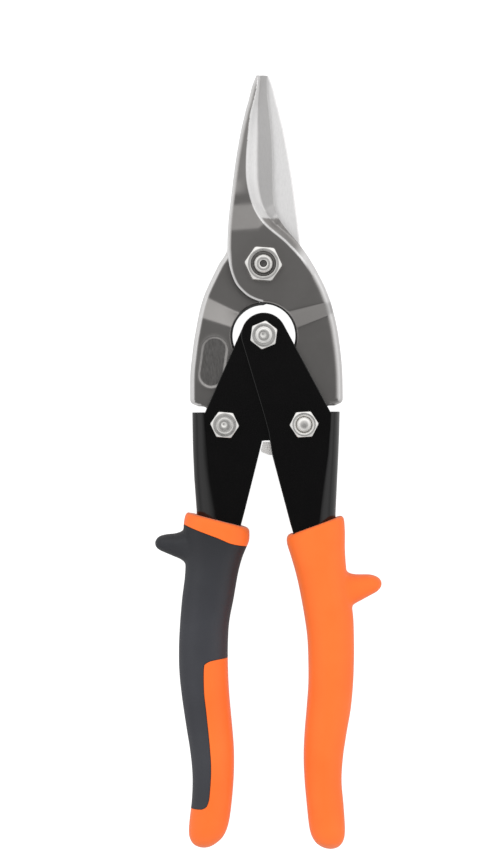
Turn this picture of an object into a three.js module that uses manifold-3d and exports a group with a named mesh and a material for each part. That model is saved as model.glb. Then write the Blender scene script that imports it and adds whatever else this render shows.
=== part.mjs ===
// Aviation snips with compound leverage, closed, lying flat on the grips. Millimetres, +Z up.
// +Y points to the blade tips, +X to the right, and the blade pivot's nut faces up.
// Pieces are drawn about the blades' pivot axis with z = 0 on the plane where the blades shear;
// the assembly then moves them so that the origin is ORIGIN below.
import * as THREE from 'three';
import { mergeVertices } from 'three/addons/utils/BufferGeometryUtils.js';
import Module from 'manifold-3d';

const wasm = await Module();
wasm.setup();

// ---------------------------------------------------------------- driving dimensions
const GRIP_HALF_T = 9.5;                // half thickness of a grip
const ORIGIN = [1.075, -63.9, -GRIP_HALF_T];   // middle of the outline, on the resting plane

const BLADE_PIVOT = [0, 0];
const HANDLE_PIVOT = [0, -22.9];
const RIGHT_LINK = [12.75, -51.7];      // right handle to front blade's tail
const LEFT_LINK = [-RIGHT_LINK[0], RIGHT_LINK[1]];   // left handle to rear blade's tail

const MAIN_R = 3.0;                     // blade pivot bolt: shank radius, hole, across flats
const MAIN_HOLE = MAIN_R + 0.1;
const MAIN_FLATS = 10.6;
const LINK_R = 2.5;                     // the other three bolts
const LINK_HOLE = LINK_R + 0.1;
const LINK_FLATS = 8.15;
const BORE_PLAY = 0.08;                 // of nuts, sleeve and spacer about a shank

const SHEAR_GAP = 0.05;                 // each blade stands this far off the shear plane
const BLADE_TOP = 5.0;                  // top of the front blade over its pivot
const TAIL_HALF_T = 2.5;                // half thickness of the blades' tails

const SHEET = 1.8;                      // handle frames' sheet
const INNER_LOW = 2.6;                  // left handle's flanges, inner layer
const INNER_HIGH = INNER_LOW + SHEET;
const OUTER_LOW = INNER_HIGH + 0.1;     // right handle's flanges, outer layer
const OUTER_HIGH = OUTER_LOW + SHEET;
const SEAT_GAP = 0.06;                  // between a flange and the bolt head or nut on it
const INNER_SEAT = INNER_HIGH + SEAT_GAP;
const OUTER_SEAT = OUTER_HIGH + SEAT_GAP;

// ---------------------------------------------------------------- solids
const toShape = (points) => new THREE.Shape(points.map(([x, y]) => new THREE.Vector2(x, y)));

// manifold from a closed geometry: vertices shared, faces pointing out
function solid(geometry) {
  geometry.deleteAttribute('normal');
  geometry.deleteAttribute('uv');
  const merged = mergeVertices(geometry, 1e-4);
  const positions = merged.attributes.position.array;
  const index = merged.index.array;
  const corner = (i) => new THREE.Vector3().fromArray(positions, 3 * i);
  const triangles = [];
  let volume = 0;
  for (let i = 0; i < index.length; i += 3) {
    const [a, b, c] = index.slice(i, i + 3);
    if (a === b || b === c || a === c) continue;
    triangles.push(a, b, c);
    volume += corner(a).dot(corner(b).cross(corner(c))) / 6;
  }
  if (volume < 0) {
    for (let i = 0; i < triangles.length; i += 3) {
      [triangles[i + 1], triangles[i + 2]] = [triangles[i + 2], triangles[i + 1]];
    }
  }
  return new wasm.Manifold(new wasm.Mesh({
    numProp: 3,
    vertProperties: new Float32Array(positions),
    triVerts: new Uint32Array(triangles),
  }));
}

function extrude(shape, depth) {
  return new THREE.ExtrudeGeometry(shape, { depth, bevelEnabled: false, steps: 1 });
}

// plan outline extruded from z0 to z1
function prism(points, z0, z1, holes = []) {
  const shape = toShape(points);
  shape.holes.push(...holes.map(toShape));
  return solid(extrude(shape, z1 - z0).translate(0, 0, z0));
}

// upright profile of [distance along the plan direction, z], extruded sideways by width
function sidewaysPrism(profile, [dx, dy], width) {
  const basis = new THREE.Matrix4().makeBasis(
    new THREE.Vector3(dx, dy, 0), new THREE.Vector3(0, 0, 1), new THREE.Vector3(dy, -dx, 0));
  return solid(extrude(toShape(profile), width).translate(0, 0, -width / 2).applyMatrix4(basis));
}

// points on a circle, the first at startDeg
const circle = ([cx, cy], radius, segments, startDeg = 0) => (
  Array.from({ length: segments }, (_, i) => {
    const angle = THREE.MathUtils.degToRad(startDeg) + (2 * Math.PI * i) / segments;
    return [cx + radius * Math.cos(angle), cy + radius * Math.sin(angle)];
  }));

const arc = ([cx, cy], radius, fromDeg, toDeg, segments) => (
  Array.from({ length: segments + 1 }, (_, i) => {
    const angle = THREE.MathUtils.degToRad(fromDeg + ((toDeg - fromDeg) * i) / segments);
    return [cx + radius * Math.cos(angle), cy + radius * Math.sin(angle)];
  }));

// cutter for a hole through everything
const bore = (center, radius, segments = 32) => prism(circle(center, radius, segments), -12, 12);

const ring = (center, inner, outer, z0, z1, segments = 32) => (
  prism(circle(center, outer, segments), z0, z1, [circle(center, inner, segments)]));

// solid of revolution about a vertical axis, profile [radius, z]
function revolve([cx, cy], profile, segments) {
  const geometry = new THREE.LatheGeometry(toShape(profile).getPoints(), segments);
  return solid(geometry.rotateX(Math.PI / 2).translate(cx, cy, 0));
}

const flatXZ = ([x, y, z]) => [x, z];
const flatYZ = ([x, y, z]) => [y, z];

// skin through closed rings of [x, y, z], equal in length; flatten projects a ring to cap it
function loft(rings, flatten) {
  const count = rings[0].length;
  const index = [];
  for (let k = 0; k + 1 < rings.length; k++) {
    for (let i = 0; i < count; i++) {
      const a = k * count + i;
      const b = k * count + ((i + 1) % count);
      index.push(a, b, b + count, a, b + count, a + count);
    }
  }
  // cap triangles turned the same way as their ring
  const capOf = (points) => {
    const flat = points.map((p) => new THREE.Vector2(...flatten(p)));
    const sign = Math.sign(THREE.ShapeUtils.area(flat));
    return THREE.ShapeUtils.triangulateShape(flat, []).map(([a, b, c]) => (
      Math.sign(THREE.ShapeUtils.area([flat[a], flat[b], flat[c]])) === sign
        ? [a, b, c] : [a, c, b]));
  };
  const last = (rings.length - 1) * count;
  for (const [a, b, c] of capOf(rings[0])) index.push(a, c, b);
  for (const [a, b, c] of capOf(rings.at(-1))) index.push(last + a, last + b, last + c);
  const geometry = new THREE.BufferGeometry();
  geometry.setAttribute('position', new THREE.Float32BufferAttribute(rings.flat(2), 3));
  geometry.setIndex(index);
  return solid(geometry);
}

// ---------------------------------------------------------------- blades
// Both are drawn as the front blade, arm to the right and body above the shear plane.
// Plan outlines [x, y], from the tip down.
const FRONT_SPINE = [
  [-1.8, 61.3], [-2.32, 60.3], [-3.3, 57.72], [-3.97, 55.14], [-4.63, 52.55], [-5.45, 49.97],
  [-6.0, 47.38], [-6.65, 44.8], [-7.2, 42.22], [-7.65, 39.63], [-8.1, 37.05], [-8.6, 34.46],
  [-8.97, 31.88], [-9.32, 29.3], [-9.66, 26.71], [-10.0, 24.13], [-10.33, 21.54],
  [-10.66, 18.96], [-10.98, 16.38], [-11.26, 13.79], [-11.45, 11.21], [-11.62, 6.04],
  [-11.42, 3.0], [-11.0, -0.1], [-10.13, -3.33], [-8.86, -6.23], [-7.25, -8.25], [-5, -10.2],
  [-2.43, -11.5], [-0.49, -12.1],
];
const REAR_SPINE = [
  [-2.0, 61.2], [-2.53, 60.3], [-3.48, 57.72], [-4.11, 55.14], [-4.74, 52.55], [-5.37, 49.97],
  [-6, 47.38], [-6.63, 44.8], [-7.2, 42.22], [-7.62, 39.63], [-8.02, 37.05], [-8.51, 34.46],
  [-9.0, 31.88], [-9.75, 26.71], [-10.06, 24.13], [-10.37, 21.54], [-10.68, 18.96],
  [-10.98, 16.38], [-11.29, 13.79], [-11.6, 11.21], [-11.91, 8.62], [-12.1, 6.04],
  [-12.0, 2.5], [-11.3, -0.6], [-10.2, -3.4], [-8.86, -6.23], [-7.25, -8.25], [-5, -10.2],
  [-2.43, -11.5], [-0.49, -12.6],
];
const CUTTING_EDGE = [
  [1.89, 61.3], [1.6, 60.4], [1.62, 57.0], [1.75, 53.84], [2.35, 47.71], [2.9, 41.41],
  [3.17, 34.79], [3.26, 27.04], [3.45, 20.9], [4.2, 17.02], [5.8, 13.79], [8.2, 10.89],
  [10.77, 7.66],
];
// outer sides of the arms
const FRONT_ARM = [
  [13.81, 3.46], [15.45, 0.87], [16.95, -1.71], [18.32, -4.3], [19.6, -6.88], [20.65, -9.46],
  [21.58, -12.05], [22.38, -14.63], [23.06, -17.22], [23.62, -19.8], [24.06, -22.38],
  [24.42, -24.97], [24.76, -27.55], [25.05, -30.14], [25.27, -32.72], [25.45, -35.3],
  [25.48, -43.06], [25.15, -44.99], [24.5, -45.64], [20.3, -45.64],
];
// waisted above the link, where it swings towards the left web
const REAR_ARM = [
  [12.35, 3.46], [14.1, 0.87], [15.45, -1.71], [16.75, -4.3], [18.0, -6.88], [19.15, -9.46],
  [20.0, -12.05], [20.68, -14.63], [21.2, -17.22], [21.7, -19.8], [22.22, -22.38],
  [22.72, -24.97], [23.35, -30.14], [23.8, -33.5], [23.93, -36.0], [23.93, -43.06],
  [23.62, -44.99], [23.1, -45.64], [18.9, -45.64], [18.55, -46.4], [18.6, -48.4],
  [18.95, -50.2],
];
// ridge x, ridge y, cutting edge x, cutting edge y, height left at the edge
const BEVEL = [
  [-1.3, 61.9, 1.9, 62.1, 0.8], [-1.5, 58.0, 1.6, 58.4, 0.8], [-2.88, 52.55, 1.85, 52.6, 0.9],
  [-3.81, 48.0, 2.32, 48.0, 1.0], [-4.6, 41.4, 2.9, 41.41, 1.0], [-5.06, 34.8, 3.17, 34.79, 1.0],
  [-5.09, 29, 3.24, 29, 1.0], [-4.57, 24.9, 3.3, 24.9, 1.0], [-3.53, 20.4, 3.45, 20.9, 1.0],
  [-1.93, 16.7, 4.2, 17.02, 1.1], [0.5, 13.15, 5.8, 13.79, 1.6], [3.39, 10.89, 8.2, 10.89, 2.5],
  [6.67, 8.43, 10.77, 7.66, 3.6], [11.2, 4.7, 13.6, 3.8, BLADE_TOP],
];
const TAIL_R = 6.4;                     // round end of a tail
const TAIL_INNER_X = 5.3;               // inner edge of the tail
const RAMP_DIR = [0.292, -0.956];       // joggle between pivot zone and tail
const RAMP_START = 17.5;                // distances along RAMP_DIR
const RAMP_END = 22.2;
const TAPER_START_Y = 12;               // the upper face slopes down from here
const TAPER_END_Y = 64;
const TAPER_END_Z = 2.48;

// takes the metal above and below the joggle
function cutJoggle(blade) {
  const length = RAMP_END - RAMP_START;
  const lowerSlope = (TAIL_HALF_T + SHEAR_GAP) / length;
  const upperSlope = (BLADE_TOP - TAIL_HALF_T) / length;
  const below = [[-90, -8], [RAMP_END + (8 - TAIL_HALF_T) / lowerSlope, -8],
    [RAMP_START, SHEAR_GAP], [-90, SHEAR_GAP]];
  const above = [[RAMP_END, TAIL_HALF_T], [90, TAIL_HALF_T], [90, 9],
    [RAMP_START - (9 - BLADE_TOP) / upperSlope, 9]];
  return blade.subtract(sidewaysPrism(below, RAMP_DIR, 140))
    .subtract(sidewaysPrism(above, RAMP_DIR, 140));
}

function taperCutter() {
  return sidewaysPrism([[TAPER_START_Y, BLADE_TOP], [TAPER_END_Y, TAPER_END_Z],
    [TAPER_END_Y, 9], [TAPER_START_Y, 9]], [0, 1], 60);
}

// height of the blade's upper face
function bladeTopAt(y) {
  if (y < TAPER_START_Y) return BLADE_TOP;
  const fraction = (y - TAPER_START_Y) / (TAPER_END_Y - TAPER_START_Y);
  return BLADE_TOP - (BLADE_TOP - TAPER_END_Z) * fraction;
}

// hollow-ground bevel between ridge and cutting edge
function bevelCutter() {
  return loft(BEVEL.map(([ridgeX, ridgeY, edgeX, edgeY, edgeZ]) => {
    const ridgeZ = bladeTopAt(ridgeY);
    const sag = Math.min(0.45, (ridgeZ - edgeZ) * 0.16);
    const at = (f, z) => [ridgeX + (edgeX - ridgeX) * f, ridgeY + (edgeY - ridgeY) * f, z];
    const hollow = (f) => at(f, ridgeZ + (edgeZ - ridgeZ) * f - sag);
    return [at(0, ridgeZ), hollow(0.35), hollow(0.7), at(1, edgeZ), at(1.9, edgeZ - 0.02),
      at(1.9, 9), at(0, 9)];
  }), flatXZ);
}

// crotchR: radius of the hollow about the handle pivot; linkHole: radius of the tail's hole
function bladeSolid({ spine, arm, crotchR, linkHole }) {
  const [, linkY] = RIGHT_LINK;
  const crotchStart = -THREE.MathUtils.radToDeg(Math.acos(TAIL_INNER_X / crotchR));
  const outline = [
    ...CUTTING_EDGE, ...arm, ...arc(RIGHT_LINK, TAIL_R, 0, -180, 14),
    [TAIL_INNER_X + 0.6, linkY + 3.2], [TAIL_INNER_X, linkY + 5.2],
    ...arc(HANDLE_PIVOT, crotchR, crotchStart, 91, 20), ...[...spine].reverse(),
  ].reverse();
  return cutJoggle(prism(outline, -TAIL_HALF_T, BLADE_TOP))
    .subtract(taperCutter())
    .subtract(bevelCutter())
    .subtract(bore(BLADE_PIVOT, MAIN_HOLE, 36))
    .subtract(bore(RIGHT_LINK, linkHole));
}

function frontBlade() {
  return bladeSolid({
    spine: FRONT_SPINE, arm: FRONT_ARM, crotchR: 10.7, linkHole: LINK_HOLE,
  });
}

// shallow panel with round ends, stamped in the upper face of the rear blade's arm
function armPanel() {
  const [x, y] = [-16.44, -31.43];
  const directionDeg = 82;
  const direction = THREE.MathUtils.degToRad(directionDeg);
  const end = (offset, startDeg) => arc(
    [x + offset * Math.cos(direction), y + offset * Math.sin(direction)],
    4.3, startDeg, startDeg + 180, 8);
  const plan = [...end(4.1, directionDeg - 90), ...end(-4.1, directionDeg + 90)];
  return prism(plan, TAIL_HALF_T - 0.3, TAIL_HALF_T + 2);
}

// turned over about its length; its link hole is wider, to take the linkage's slack
function rearBlade() {
  return bladeSolid({ spine: REAR_SPINE, arm: REAR_ARM, crotchR: 9.8, linkHole: 2.85 })
    .rotate([0, 180, 0])
    .subtract(armPanel());
}

// ---------------------------------------------------------------- handle frames
const WEB_TOP = -47.6;                  // the webs start here, just under the blades' shoulders
const EYE_R = 7.27;                     // round +Y end of the flanges
// channel stations: y, outer x, inner x, width of the rounded web
const LEFT_CHANNEL = [
  [WEB_TOP, -23.3, 1.0, 4.2], [-56.85, -23.21, 0.2, 4.4], [-57.0, -23.2, -0.74, 4.4],
  [-61.14, -23.1, -1.76, 4.6], [-68.9, -22.8, -3.74, 5.4], [-79.2, -22.1, -6.39, 6.6],
  [-84.1, -21.9, -7.71, 7.0], [-97, -22.3, -11.2, 6.4], [-108, -23.6, -13.4, 5.6],
  [-120, -24.8, -15.2, 5.0], [-133, -24.5, -15.2, 5.0], [-145, -23.2, -14.6, 5.0],
  [-157, -21.5, -13.7, 5.0], [-167, -21.0, -14.0, 5.0], [-177.8, -21.8, -15.0, 5.0],
];
const RIGHT_CHANNEL = [
  [WEB_TOP, 24.5, -0.37, 3.2], [-54.36, 24.3, 1.42, 3.4], [-61.14, 24.0, 2.44, 3.7],
  [-69.5, 23.55, 4.6, 4.6], [-79.9, 23.0, 7.28, 5.6], [-84.4, 22.85, 8.44, 6.0],
  [-97, 22.9, 12.2, 5.6], [-108, 24.7, 14.7, 5.2], [-120, 25.4, 16.8, 5.0],
  [-133, 25.3, 17.0, 5.0], [-145, 24.0, 16.4, 5.0], [-157, 22.1, 15.5, 4.6],
  [-167, 21.2, 15.5, 4.4], [-177.8, 21.8, 16.3, 4.4],
];
// plan of the flanges about the handle pivot, [x, y]
const LEFT_FLANGE = [
  [-19.1, WEB_TOP], [-19.1, -52], [-2.0, -52], [-2.0, -56.8], [3.0, -56.8], [3.4, -50],
  [7.08, -24.5], ...arc(HANDLE_PIVOT, EYE_R, -13, 155.8, 16),
];
const RIGHT_FLANGE = [
  ...arc(HANDLE_PIVOT, EYE_R, 27.8, 194.8, 16), [-0.37, WEB_TOP], [0.78, -52],
  [21.26, -52], [21.26, WEB_TOP],
];

// half ellipse at y from top to bottom; a negative radiusX bulges towards -X
const webArc = (centerX, radiusX, y, radiusZ, segments) => (
  Array.from({ length: segments + 1 }, (_, i) => {
    const angle = Math.PI / 2 - (Math.PI * i) / segments;
    return [centerX + radiusX * Math.cos(angle), y, radiusZ * Math.sin(angle)];
  }));

// side: +1 right, -1 left; low and high: z levels of the upper flange
function frameSolid({ channel, flange, low, high, side, link }) {
  const rings = channel.map(([y, outerX, innerX, web]) => {
    const centerX = outerX - side * web;
    return [
      [innerX, y, high], ...webArc(centerX, side * web, y, high, 8), [innerX, y, -high],
      [innerX, y, -low], ...webArc(centerX, side * (web - SHEET), y, low, 8).reverse(),
      [innerX, y, low],
    ];
  });
  return loft(rings, flatXZ)
    .add(prism(flange, low, high))
    .add(prism(flange, -high, -low))
    .subtract(bore(HANDLE_PIVOT, LINK_HOLE))
    .subtract(bore(link, LINK_HOLE));
}

const leftFrame = () => frameSolid({
  channel: LEFT_CHANNEL, flange: LEFT_FLANGE, low: INNER_LOW, high: INNER_HIGH,
  side: -1, link: LEFT_LINK,
});
const rightFrame = () => frameSolid({
  channel: RIGHT_CHANNEL, flange: RIGHT_FLANGE, low: OUTER_LOW, high: OUTER_HIGH,
  side: 1, link: RIGHT_LINK,
});

// ---------------------------------------------------------------- grips
const COVER_T = 1.6;                    // thickness of the dark overmould
const MOULD_GAP = 0.15;                 // between moulded pieces
const GRIP_CORNER_R = 6.2;
// grip stations: left side's y and x, right side's y and x, half thickness
const LEFT_GRIP = [
  [-79.9, -25.2, -84.9, -5.5, 8.6], [-81.4, -25.8, -86.3, -5.0, 9.3],
  [-84.4, -26.3, -89.2, -5.1, GRIP_HALF_T], [-88, -26.1, -91.5, -6.1, GRIP_HALF_T],
  [-93, -25.7, -95, -7.5, GRIP_HALF_T], [-99.9, -25.9, -99.9, -8.8, GRIP_HALF_T],
  [-107.7, -26.9, -107.7, -10.2, GRIP_HALF_T], [-115.4, -27.6, -115.4, -11.7, GRIP_HALF_T],
  [-123, -28.0, -123, -12.2, GRIP_HALF_T], [-131, -27.95, -131, -12.2, GRIP_HALF_T],
  [-139, -27.2, -139, -11.85, GRIP_HALF_T], [-149, -25.8, -149, -11.0, GRIP_HALF_T],
  [-156.8, -24.6, -156.8, -10.45, GRIP_HALF_T], [-164.5, -23.9, -164.5, -10.5, GRIP_HALF_T],
  [-172.3, -24.1, -172.3, -11.1, GRIP_HALF_T], [-180, -25.0, -180, -12.2, GRIP_HALF_T],
  [-184.2, -25.1, -184.4, -13.9, 8.6], [-186.9, -23.9, -187.0, -16.6, 6.4],
  [-188.3, -21.6, -188.3, -18.9, 3.0],
];
const RIGHT_GRIP = [
  [-87.4, 7.6, -81.3, 25.1, 8.6], [-88.5, 7.1, -82.9, 25.7, 9.3],
  [-90.5, 7.2, -87, 25.9, GRIP_HALF_T], [-94.7, 8.5, -92, 25.85, GRIP_HALF_T],
  [-99.9, 9.96, -98, 26.2, GRIP_HALF_T], [-105, 11.1, -105, 27.0, GRIP_HALF_T],
  [-112.8, 12.5, -112.8, 28.3, GRIP_HALF_T], [-120.6, 13.55, -120.6, 28.6, GRIP_HALF_T],
  [-128.3, 13.85, -128.3, 28.55, GRIP_HALF_T], [-136, 13.8, -136, 28.2, GRIP_HALF_T],
  [-143.8, 13.2, -143.8, 27.4, GRIP_HALF_T], [-151.6, 12.5, -151.6, 26.0, GRIP_HALF_T],
  [-159.3, 12.15, -159.3, 24.8, GRIP_HALF_T], [-167, 12.4, -167, 24.3, GRIP_HALF_T],
  [-174.8, 13.05, -174.8, 24.9, GRIP_HALF_T], [-182.6, 13.9, -182.6, 25.3, GRIP_HALF_T],
  [-186.2, 15.4, -186.0, 24.8, 8.4], [-188.0, 17.4, -187.9, 23.6, 6.0],
  [-189.1, 19.4, -189.1, 21.9, 2.8],
];
// horns on the grips' outer sides: x, greater y, lesser y, half thickness
const LEFT_HORN = [
  [-22.5, -84.6, -99.5, 6.9], [-25.6, -85.2, -96.6, 6.7], [-27.2, -86.1, -95.1, 6.3],
  [-29.2, -86.75, -94.25, 5.9], [-32, -87.0, -93.1, 5.4], [-34.2, -87.6, -92.1, 4.5],
  [-35.3, -88.7, -91.1, 2.9], [-35.65, -89.4, -90.2, 1.2],
];
const RIGHT_HORN = [
  [23.5, -97.0, -114.5, 6.9], [26.6, -99.6, -111.8, 6.7], [28.6, -100.25, -110.1, 6.2],
  [31, -100.3, -108.8, 5.8], [34, -100.4, -107.2, 5.2], [36.3, -101.1, -105.9, 4.3],
  [37.45, -102.2, -104.6, 2.8], [37.8, -103.0, -103.8, 1.2],
];
// zones in plan, [x, y], clockwise from above where the cover lies
const COVER_ZONE = [
  [-30, -82.3], [-25.6, -84.08], [-21.28, -85.85], [-14.97, -88.28], [-10.97, -90.21],
  [-5.94, -91.05], [-2, -91.6], [-2, -126.3], [-11.84, -126.55], [-16.69, -127.17],
  [-19.2, -128.1], [-19.98, -129.6], [-19.98, -137.37], [-19.25, -144.48], [-18.27, -154.81],
  [-17.87, -162.57], [-18.37, -170.32], [-18.91, -173.4], [-19.6, -174.6], [-20.9, -175.05],
  [-23.3, -175.1], [-30, -175.2],
];
// where the horn belongs to the cover, and where the core makes room for it
const HORN_ZONE = [
  [-40, -80.5], [-27, -80.5], [-25.6, -84.08], [-21.28, -85.85], [-14, -88.6], [-14, -105],
  [-40, -105],
];
const HORN_ROOM_ZONE = [
  [-45, -80], [-26.2, -83.6], [-21.2, -85.7], [-13.8, -88.4], [-13.8, -106], [-45, -106],
];
const zone = (plan) => prism(plan, -14, 14);

// section with flat faces and rounded corners
function gripRing([leftY, leftX, rightY, rightX, halfT], inset) {
  const halfW = (rightX - leftX) / 2 - inset;
  const halfH = halfT - inset;
  const radius = Math.min(GRIP_CORNER_R - inset, halfW * 0.92, halfH * 0.92);
  const slope = (rightY - leftY) / (rightX - leftX);
  const points = [];
  [[1, -1], [1, 1], [-1, 1], [-1, -1]].forEach(([signX, signZ], quarter) => {
    for (let k = 0; k <= 3; k++) {
      const angle = (Math.PI / 2) * (quarter - 1 + k / 3);
      const x = signX * (halfW - radius) + radius * Math.cos(angle);
      const z = signZ * (halfH - radius) + radius * Math.sin(angle);
      points.push([(leftX + rightX) / 2 + x, (leftY + rightY) / 2 + x * slope, z]);
    }
  });
  return points;
}
const gripBody = (stations, inset = 0) => loft(stations.map((s) => gripRing(s, inset)), flatXZ);

// oval sections, slightly squared by the power
function hornSolid(stations) {
  const squared = (v) => Math.sign(v) * Math.abs(v) ** 0.8;
  return loft(stations.map(([x, highY, lowY, halfT]) => (
    circle([0, 0], 1, 14).map(([c, s]) => [
      x, (highY + lowY) / 2 + ((highY - lowY) / 2) * squared(c), halfT * squared(s),
    ]))), flatYZ);
}

// space taken by a frame inside its grip
function frameCavity(channel, high, side) {
  const edgeGap = 0.2;                  // at the inner edge and the frame's -Y end
  const skinGap = 0.26;                 // at the web and the flanges
  const halfH = high + skinGap;
  const stations = channel.filter(([y]) => y < -60);
  return loft(stations.map(([stationY, outerX, innerX, web], k) => {
    const y = k === stations.length - 1 ? stationY - edgeGap : stationY;
    const edgeX = innerX - side * edgeGap;
    return [[edgeX, y, halfH],
      ...webArc(outerX - side * web, side * (web + skinGap), y, halfH, 6),
      [edgeX, y, -halfH]];
  }), flatXZ);
}

// moves each point of a clockwise plan outwards, square to the line through its neighbours
function outset(plan, distance) {
  return plan.map(([x, y], i) => {
    const before = plan.at(i - 1);
    const after = plan[(i + 1) % plan.length];
    const along = new THREE.Vector2(after[0] - before[0], after[1] - before[1]).normalize();
    return [x - along.y * distance, y + along.x * distance];
  });
}

function leftGripCover() {
  const inside = gripBody(LEFT_GRIP, COVER_T);
  const horn = hornSolid(LEFT_HORN).subtract(inside).intersect(zone(HORN_ZONE));
  return gripBody(LEFT_GRIP).intersect(zone(COVER_ZONE)).subtract(inside).add(horn);
}

function leftGripCore() {
  const inside = gripBody(LEFT_GRIP, COVER_T + MOULD_GAP);
  const coverRoom = zone(outset(COVER_ZONE, MOULD_GAP)).subtract(inside);
  const widerHorn = LEFT_HORN.map(([x, highY, lowY, halfT]) => (
    [x, highY + MOULD_GAP, lowY - MOULD_GAP, halfT + MOULD_GAP]));
  const hornRoom = hornSolid(widerHorn).subtract(inside).intersect(zone(HORN_ROOM_ZONE));
  return gripBody(LEFT_GRIP)
    .subtract(coverRoom)
    .subtract(frameCavity(LEFT_CHANNEL, INNER_HIGH, -1))
    .subtract(hornRoom);
}

function rightGrip() {
  return gripBody(RIGHT_GRIP)
    .add(hornSolid(RIGHT_HORN))
    .subtract(frameCavity(RIGHT_CHANNEL, OUTER_HIGH, 1));
}

// ---------------------------------------------------------------- fasteners
// hexagon from its seat to its outer end, which is chamfered
function hexagon(center, flats, seatZ, endZ, turnDeg) {
  const cornerR = flats / Math.sqrt(3);
  const rim = cornerR + 0.15;
  const body = prism(circle(center, cornerR, 6, turnDeg),
    Math.min(seatZ, endZ), Math.max(seatZ, endZ));
  return body.intersect(revolve(center, [
    [0, seatZ], [rim, seatZ], [rim, endZ - Math.sign(endZ - seatZ) * 0.7],
    [flats / 2 - 0.05, endZ], [0, endZ],
  ], 24));
}

// head underneath, round recess in the upper end
function mainBolt() {
  return hexagon(BLADE_PIVOT, MAIN_FLATS, -6.3, -9.3, 0).add(revolve(BLADE_PIVOT, [
    [0, -7], [MAIN_R, -7], [MAIN_R, 9.55], [MAIN_R - 0.55, 10.2], [1.1, 10.2], [1.1, 8.6],
    [0, 8.2],
  ], 36));
}

// countersunk at the top
function mainNut() {
  const countersink = [[0, 8.7], [MAIN_R + 0.07, 8.7], [MAIN_R + 0.95, 9.6], [0, 9.6]];
  return hexagon(BLADE_PIVOT, MAIN_FLATS, BLADE_TOP + SHEAR_GAP, 9.4, -5)
    .subtract(bore(BLADE_PIVOT, MAIN_R + BORE_PLAY, 36))
    .subtract(revolve(BLADE_PIVOT, countersink, 36));
}

const mainWasher = () => ring(BLADE_PIVOT, MAIN_HOLE, 6.4, -6.25, -5.06, 36);

// up: +1 head on top, -1 head underneath; seat, head and shankEnd are lengths from z = 0,
// the seat and the far side of z = 0
function linkBolt({ center, seat, head, shankEnd, up, turnDeg, boss = false, dimple = false }) {
  const turned = (at, profile, segments) => (
    revolve(at, profile.map(([radius, z]) => [radius, up * z]), segments));
  const top = seat + head;
  let bolt = hexagon(center, LINK_FLATS, up * seat, up * top, turnDeg).add(turned(center, [
    [0, seat + 0.6], [LINK_R, seat + 0.6], [LINK_R, 0.5 - shankEnd],
    [LINK_R - 0.5, -shankEnd], [0, -shankEnd],
  ], 24));
  if (boss) {
    bolt = bolt.add(turned(center, [
      [0, top - 0.5], [2.5, top - 0.5], [2.5, top], [2.0, top + 0.45], [0, top + 0.45],
    ], 24));
  }
  if (dimple) {
    bolt = bolt.subtract(turned([center[0] + 0.4, center[1] + 0.2], [
      [0, top - 0.25], [0.7, top + 0.2], [1.2, top + 1], [0, top + 1],
    ], 16));
  }
  return bolt;
}

const linkNut = (center, seatZ, endZ, turnDeg) => (
  hexagon(center, LINK_FLATS, seatZ, endZ, turnDeg)
    .subtract(bore(center, LINK_R + BORE_PLAY, 24)));

const handlePivotBolt = () => linkBolt({
  center: HANDLE_PIVOT, seat: OUTER_SEAT, head: 2.9, shankEnd: 9.42, up: 1, turnDeg: 22,
  boss: true, dimple: true,
});
const handlePivotNut = () => linkNut(HANDLE_PIVOT, -OUTER_SEAT, -9.0, 10);
const handlePivotSleeve = () => ring(HANDLE_PIVOT, LINK_R + BORE_PLAY, 3.6, -2.5, 2.5);

const leftLinkBolt = () => linkBolt({
  center: LEFT_LINK, seat: INNER_SEAT, head: 3.0, shankEnd: 8.4, up: 1, turnDeg: -5,
  dimple: true,
});
const leftLinkNut = () => linkNut(LEFT_LINK, -INNER_SEAT, -7.6, 12);

const rightLinkBolt = () => linkBolt({
  center: RIGHT_LINK, seat: OUTER_SEAT, head: 2.9, shankEnd: 10.0, up: -1, turnDeg: 8,
});
const rightLinkNut = () => linkNut(RIGHT_LINK, OUTER_SEAT, 9.5, 3);
const rightLinkSpacer = () => (
  ring(RIGHT_LINK, LINK_R + BORE_PLAY, 5.0, -INNER_HIGH, -INNER_LOW));

// ---------------------------------------------------------------- return spring
const WIRE_R = 0.675;
const COIL_R = 4.6;
const COIL_TURNS = 2.5;
const COIL_HALF_H = 1.83;               // keeps the turns clear of each other
const SPRING_LEG = [[4.3, -47.4], [4.3, -40], [4.35, -33], [4.52, -27.5]];   // right leg, [x, y]

// coil about the sleeve, legs towards -Y between the blades' tails
function returnSpring() {
  const steps = 40;
  const [cx, cy] = HANDLE_PIVOT;
  const coil = Array.from({ length: steps + 1 }, (_, k) => {
    const angle = (COIL_TURNS * 2 * Math.PI * k) / steps;
    const z = -COIL_HALF_H + (2 * COIL_HALF_H * k) / steps;
    return [cx + COIL_R * Math.cos(angle), cy + COIL_R * Math.sin(angle), z];
  });
  const rightLeg = SPRING_LEG.map(([x, y]) => [x, y, -COIL_HALF_H]);
  const leftLeg = SPRING_LEG.map(([x, y]) => [-x, y, COIL_HALF_H]).reverse();
  const points = [...rightLeg, ...coil, ...leftLeg].map((p) => new THREE.Vector3(...p));
  return solid(new THREE.ExtrudeGeometry(toShape(circle([0, 0], WIRE_R, 7)), {
    steps: 78,
    bevelEnabled: false,
    extrudePath: new THREE.CatmullRomCurve3(points, false, 'centripetal'),
  }));
}

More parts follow.
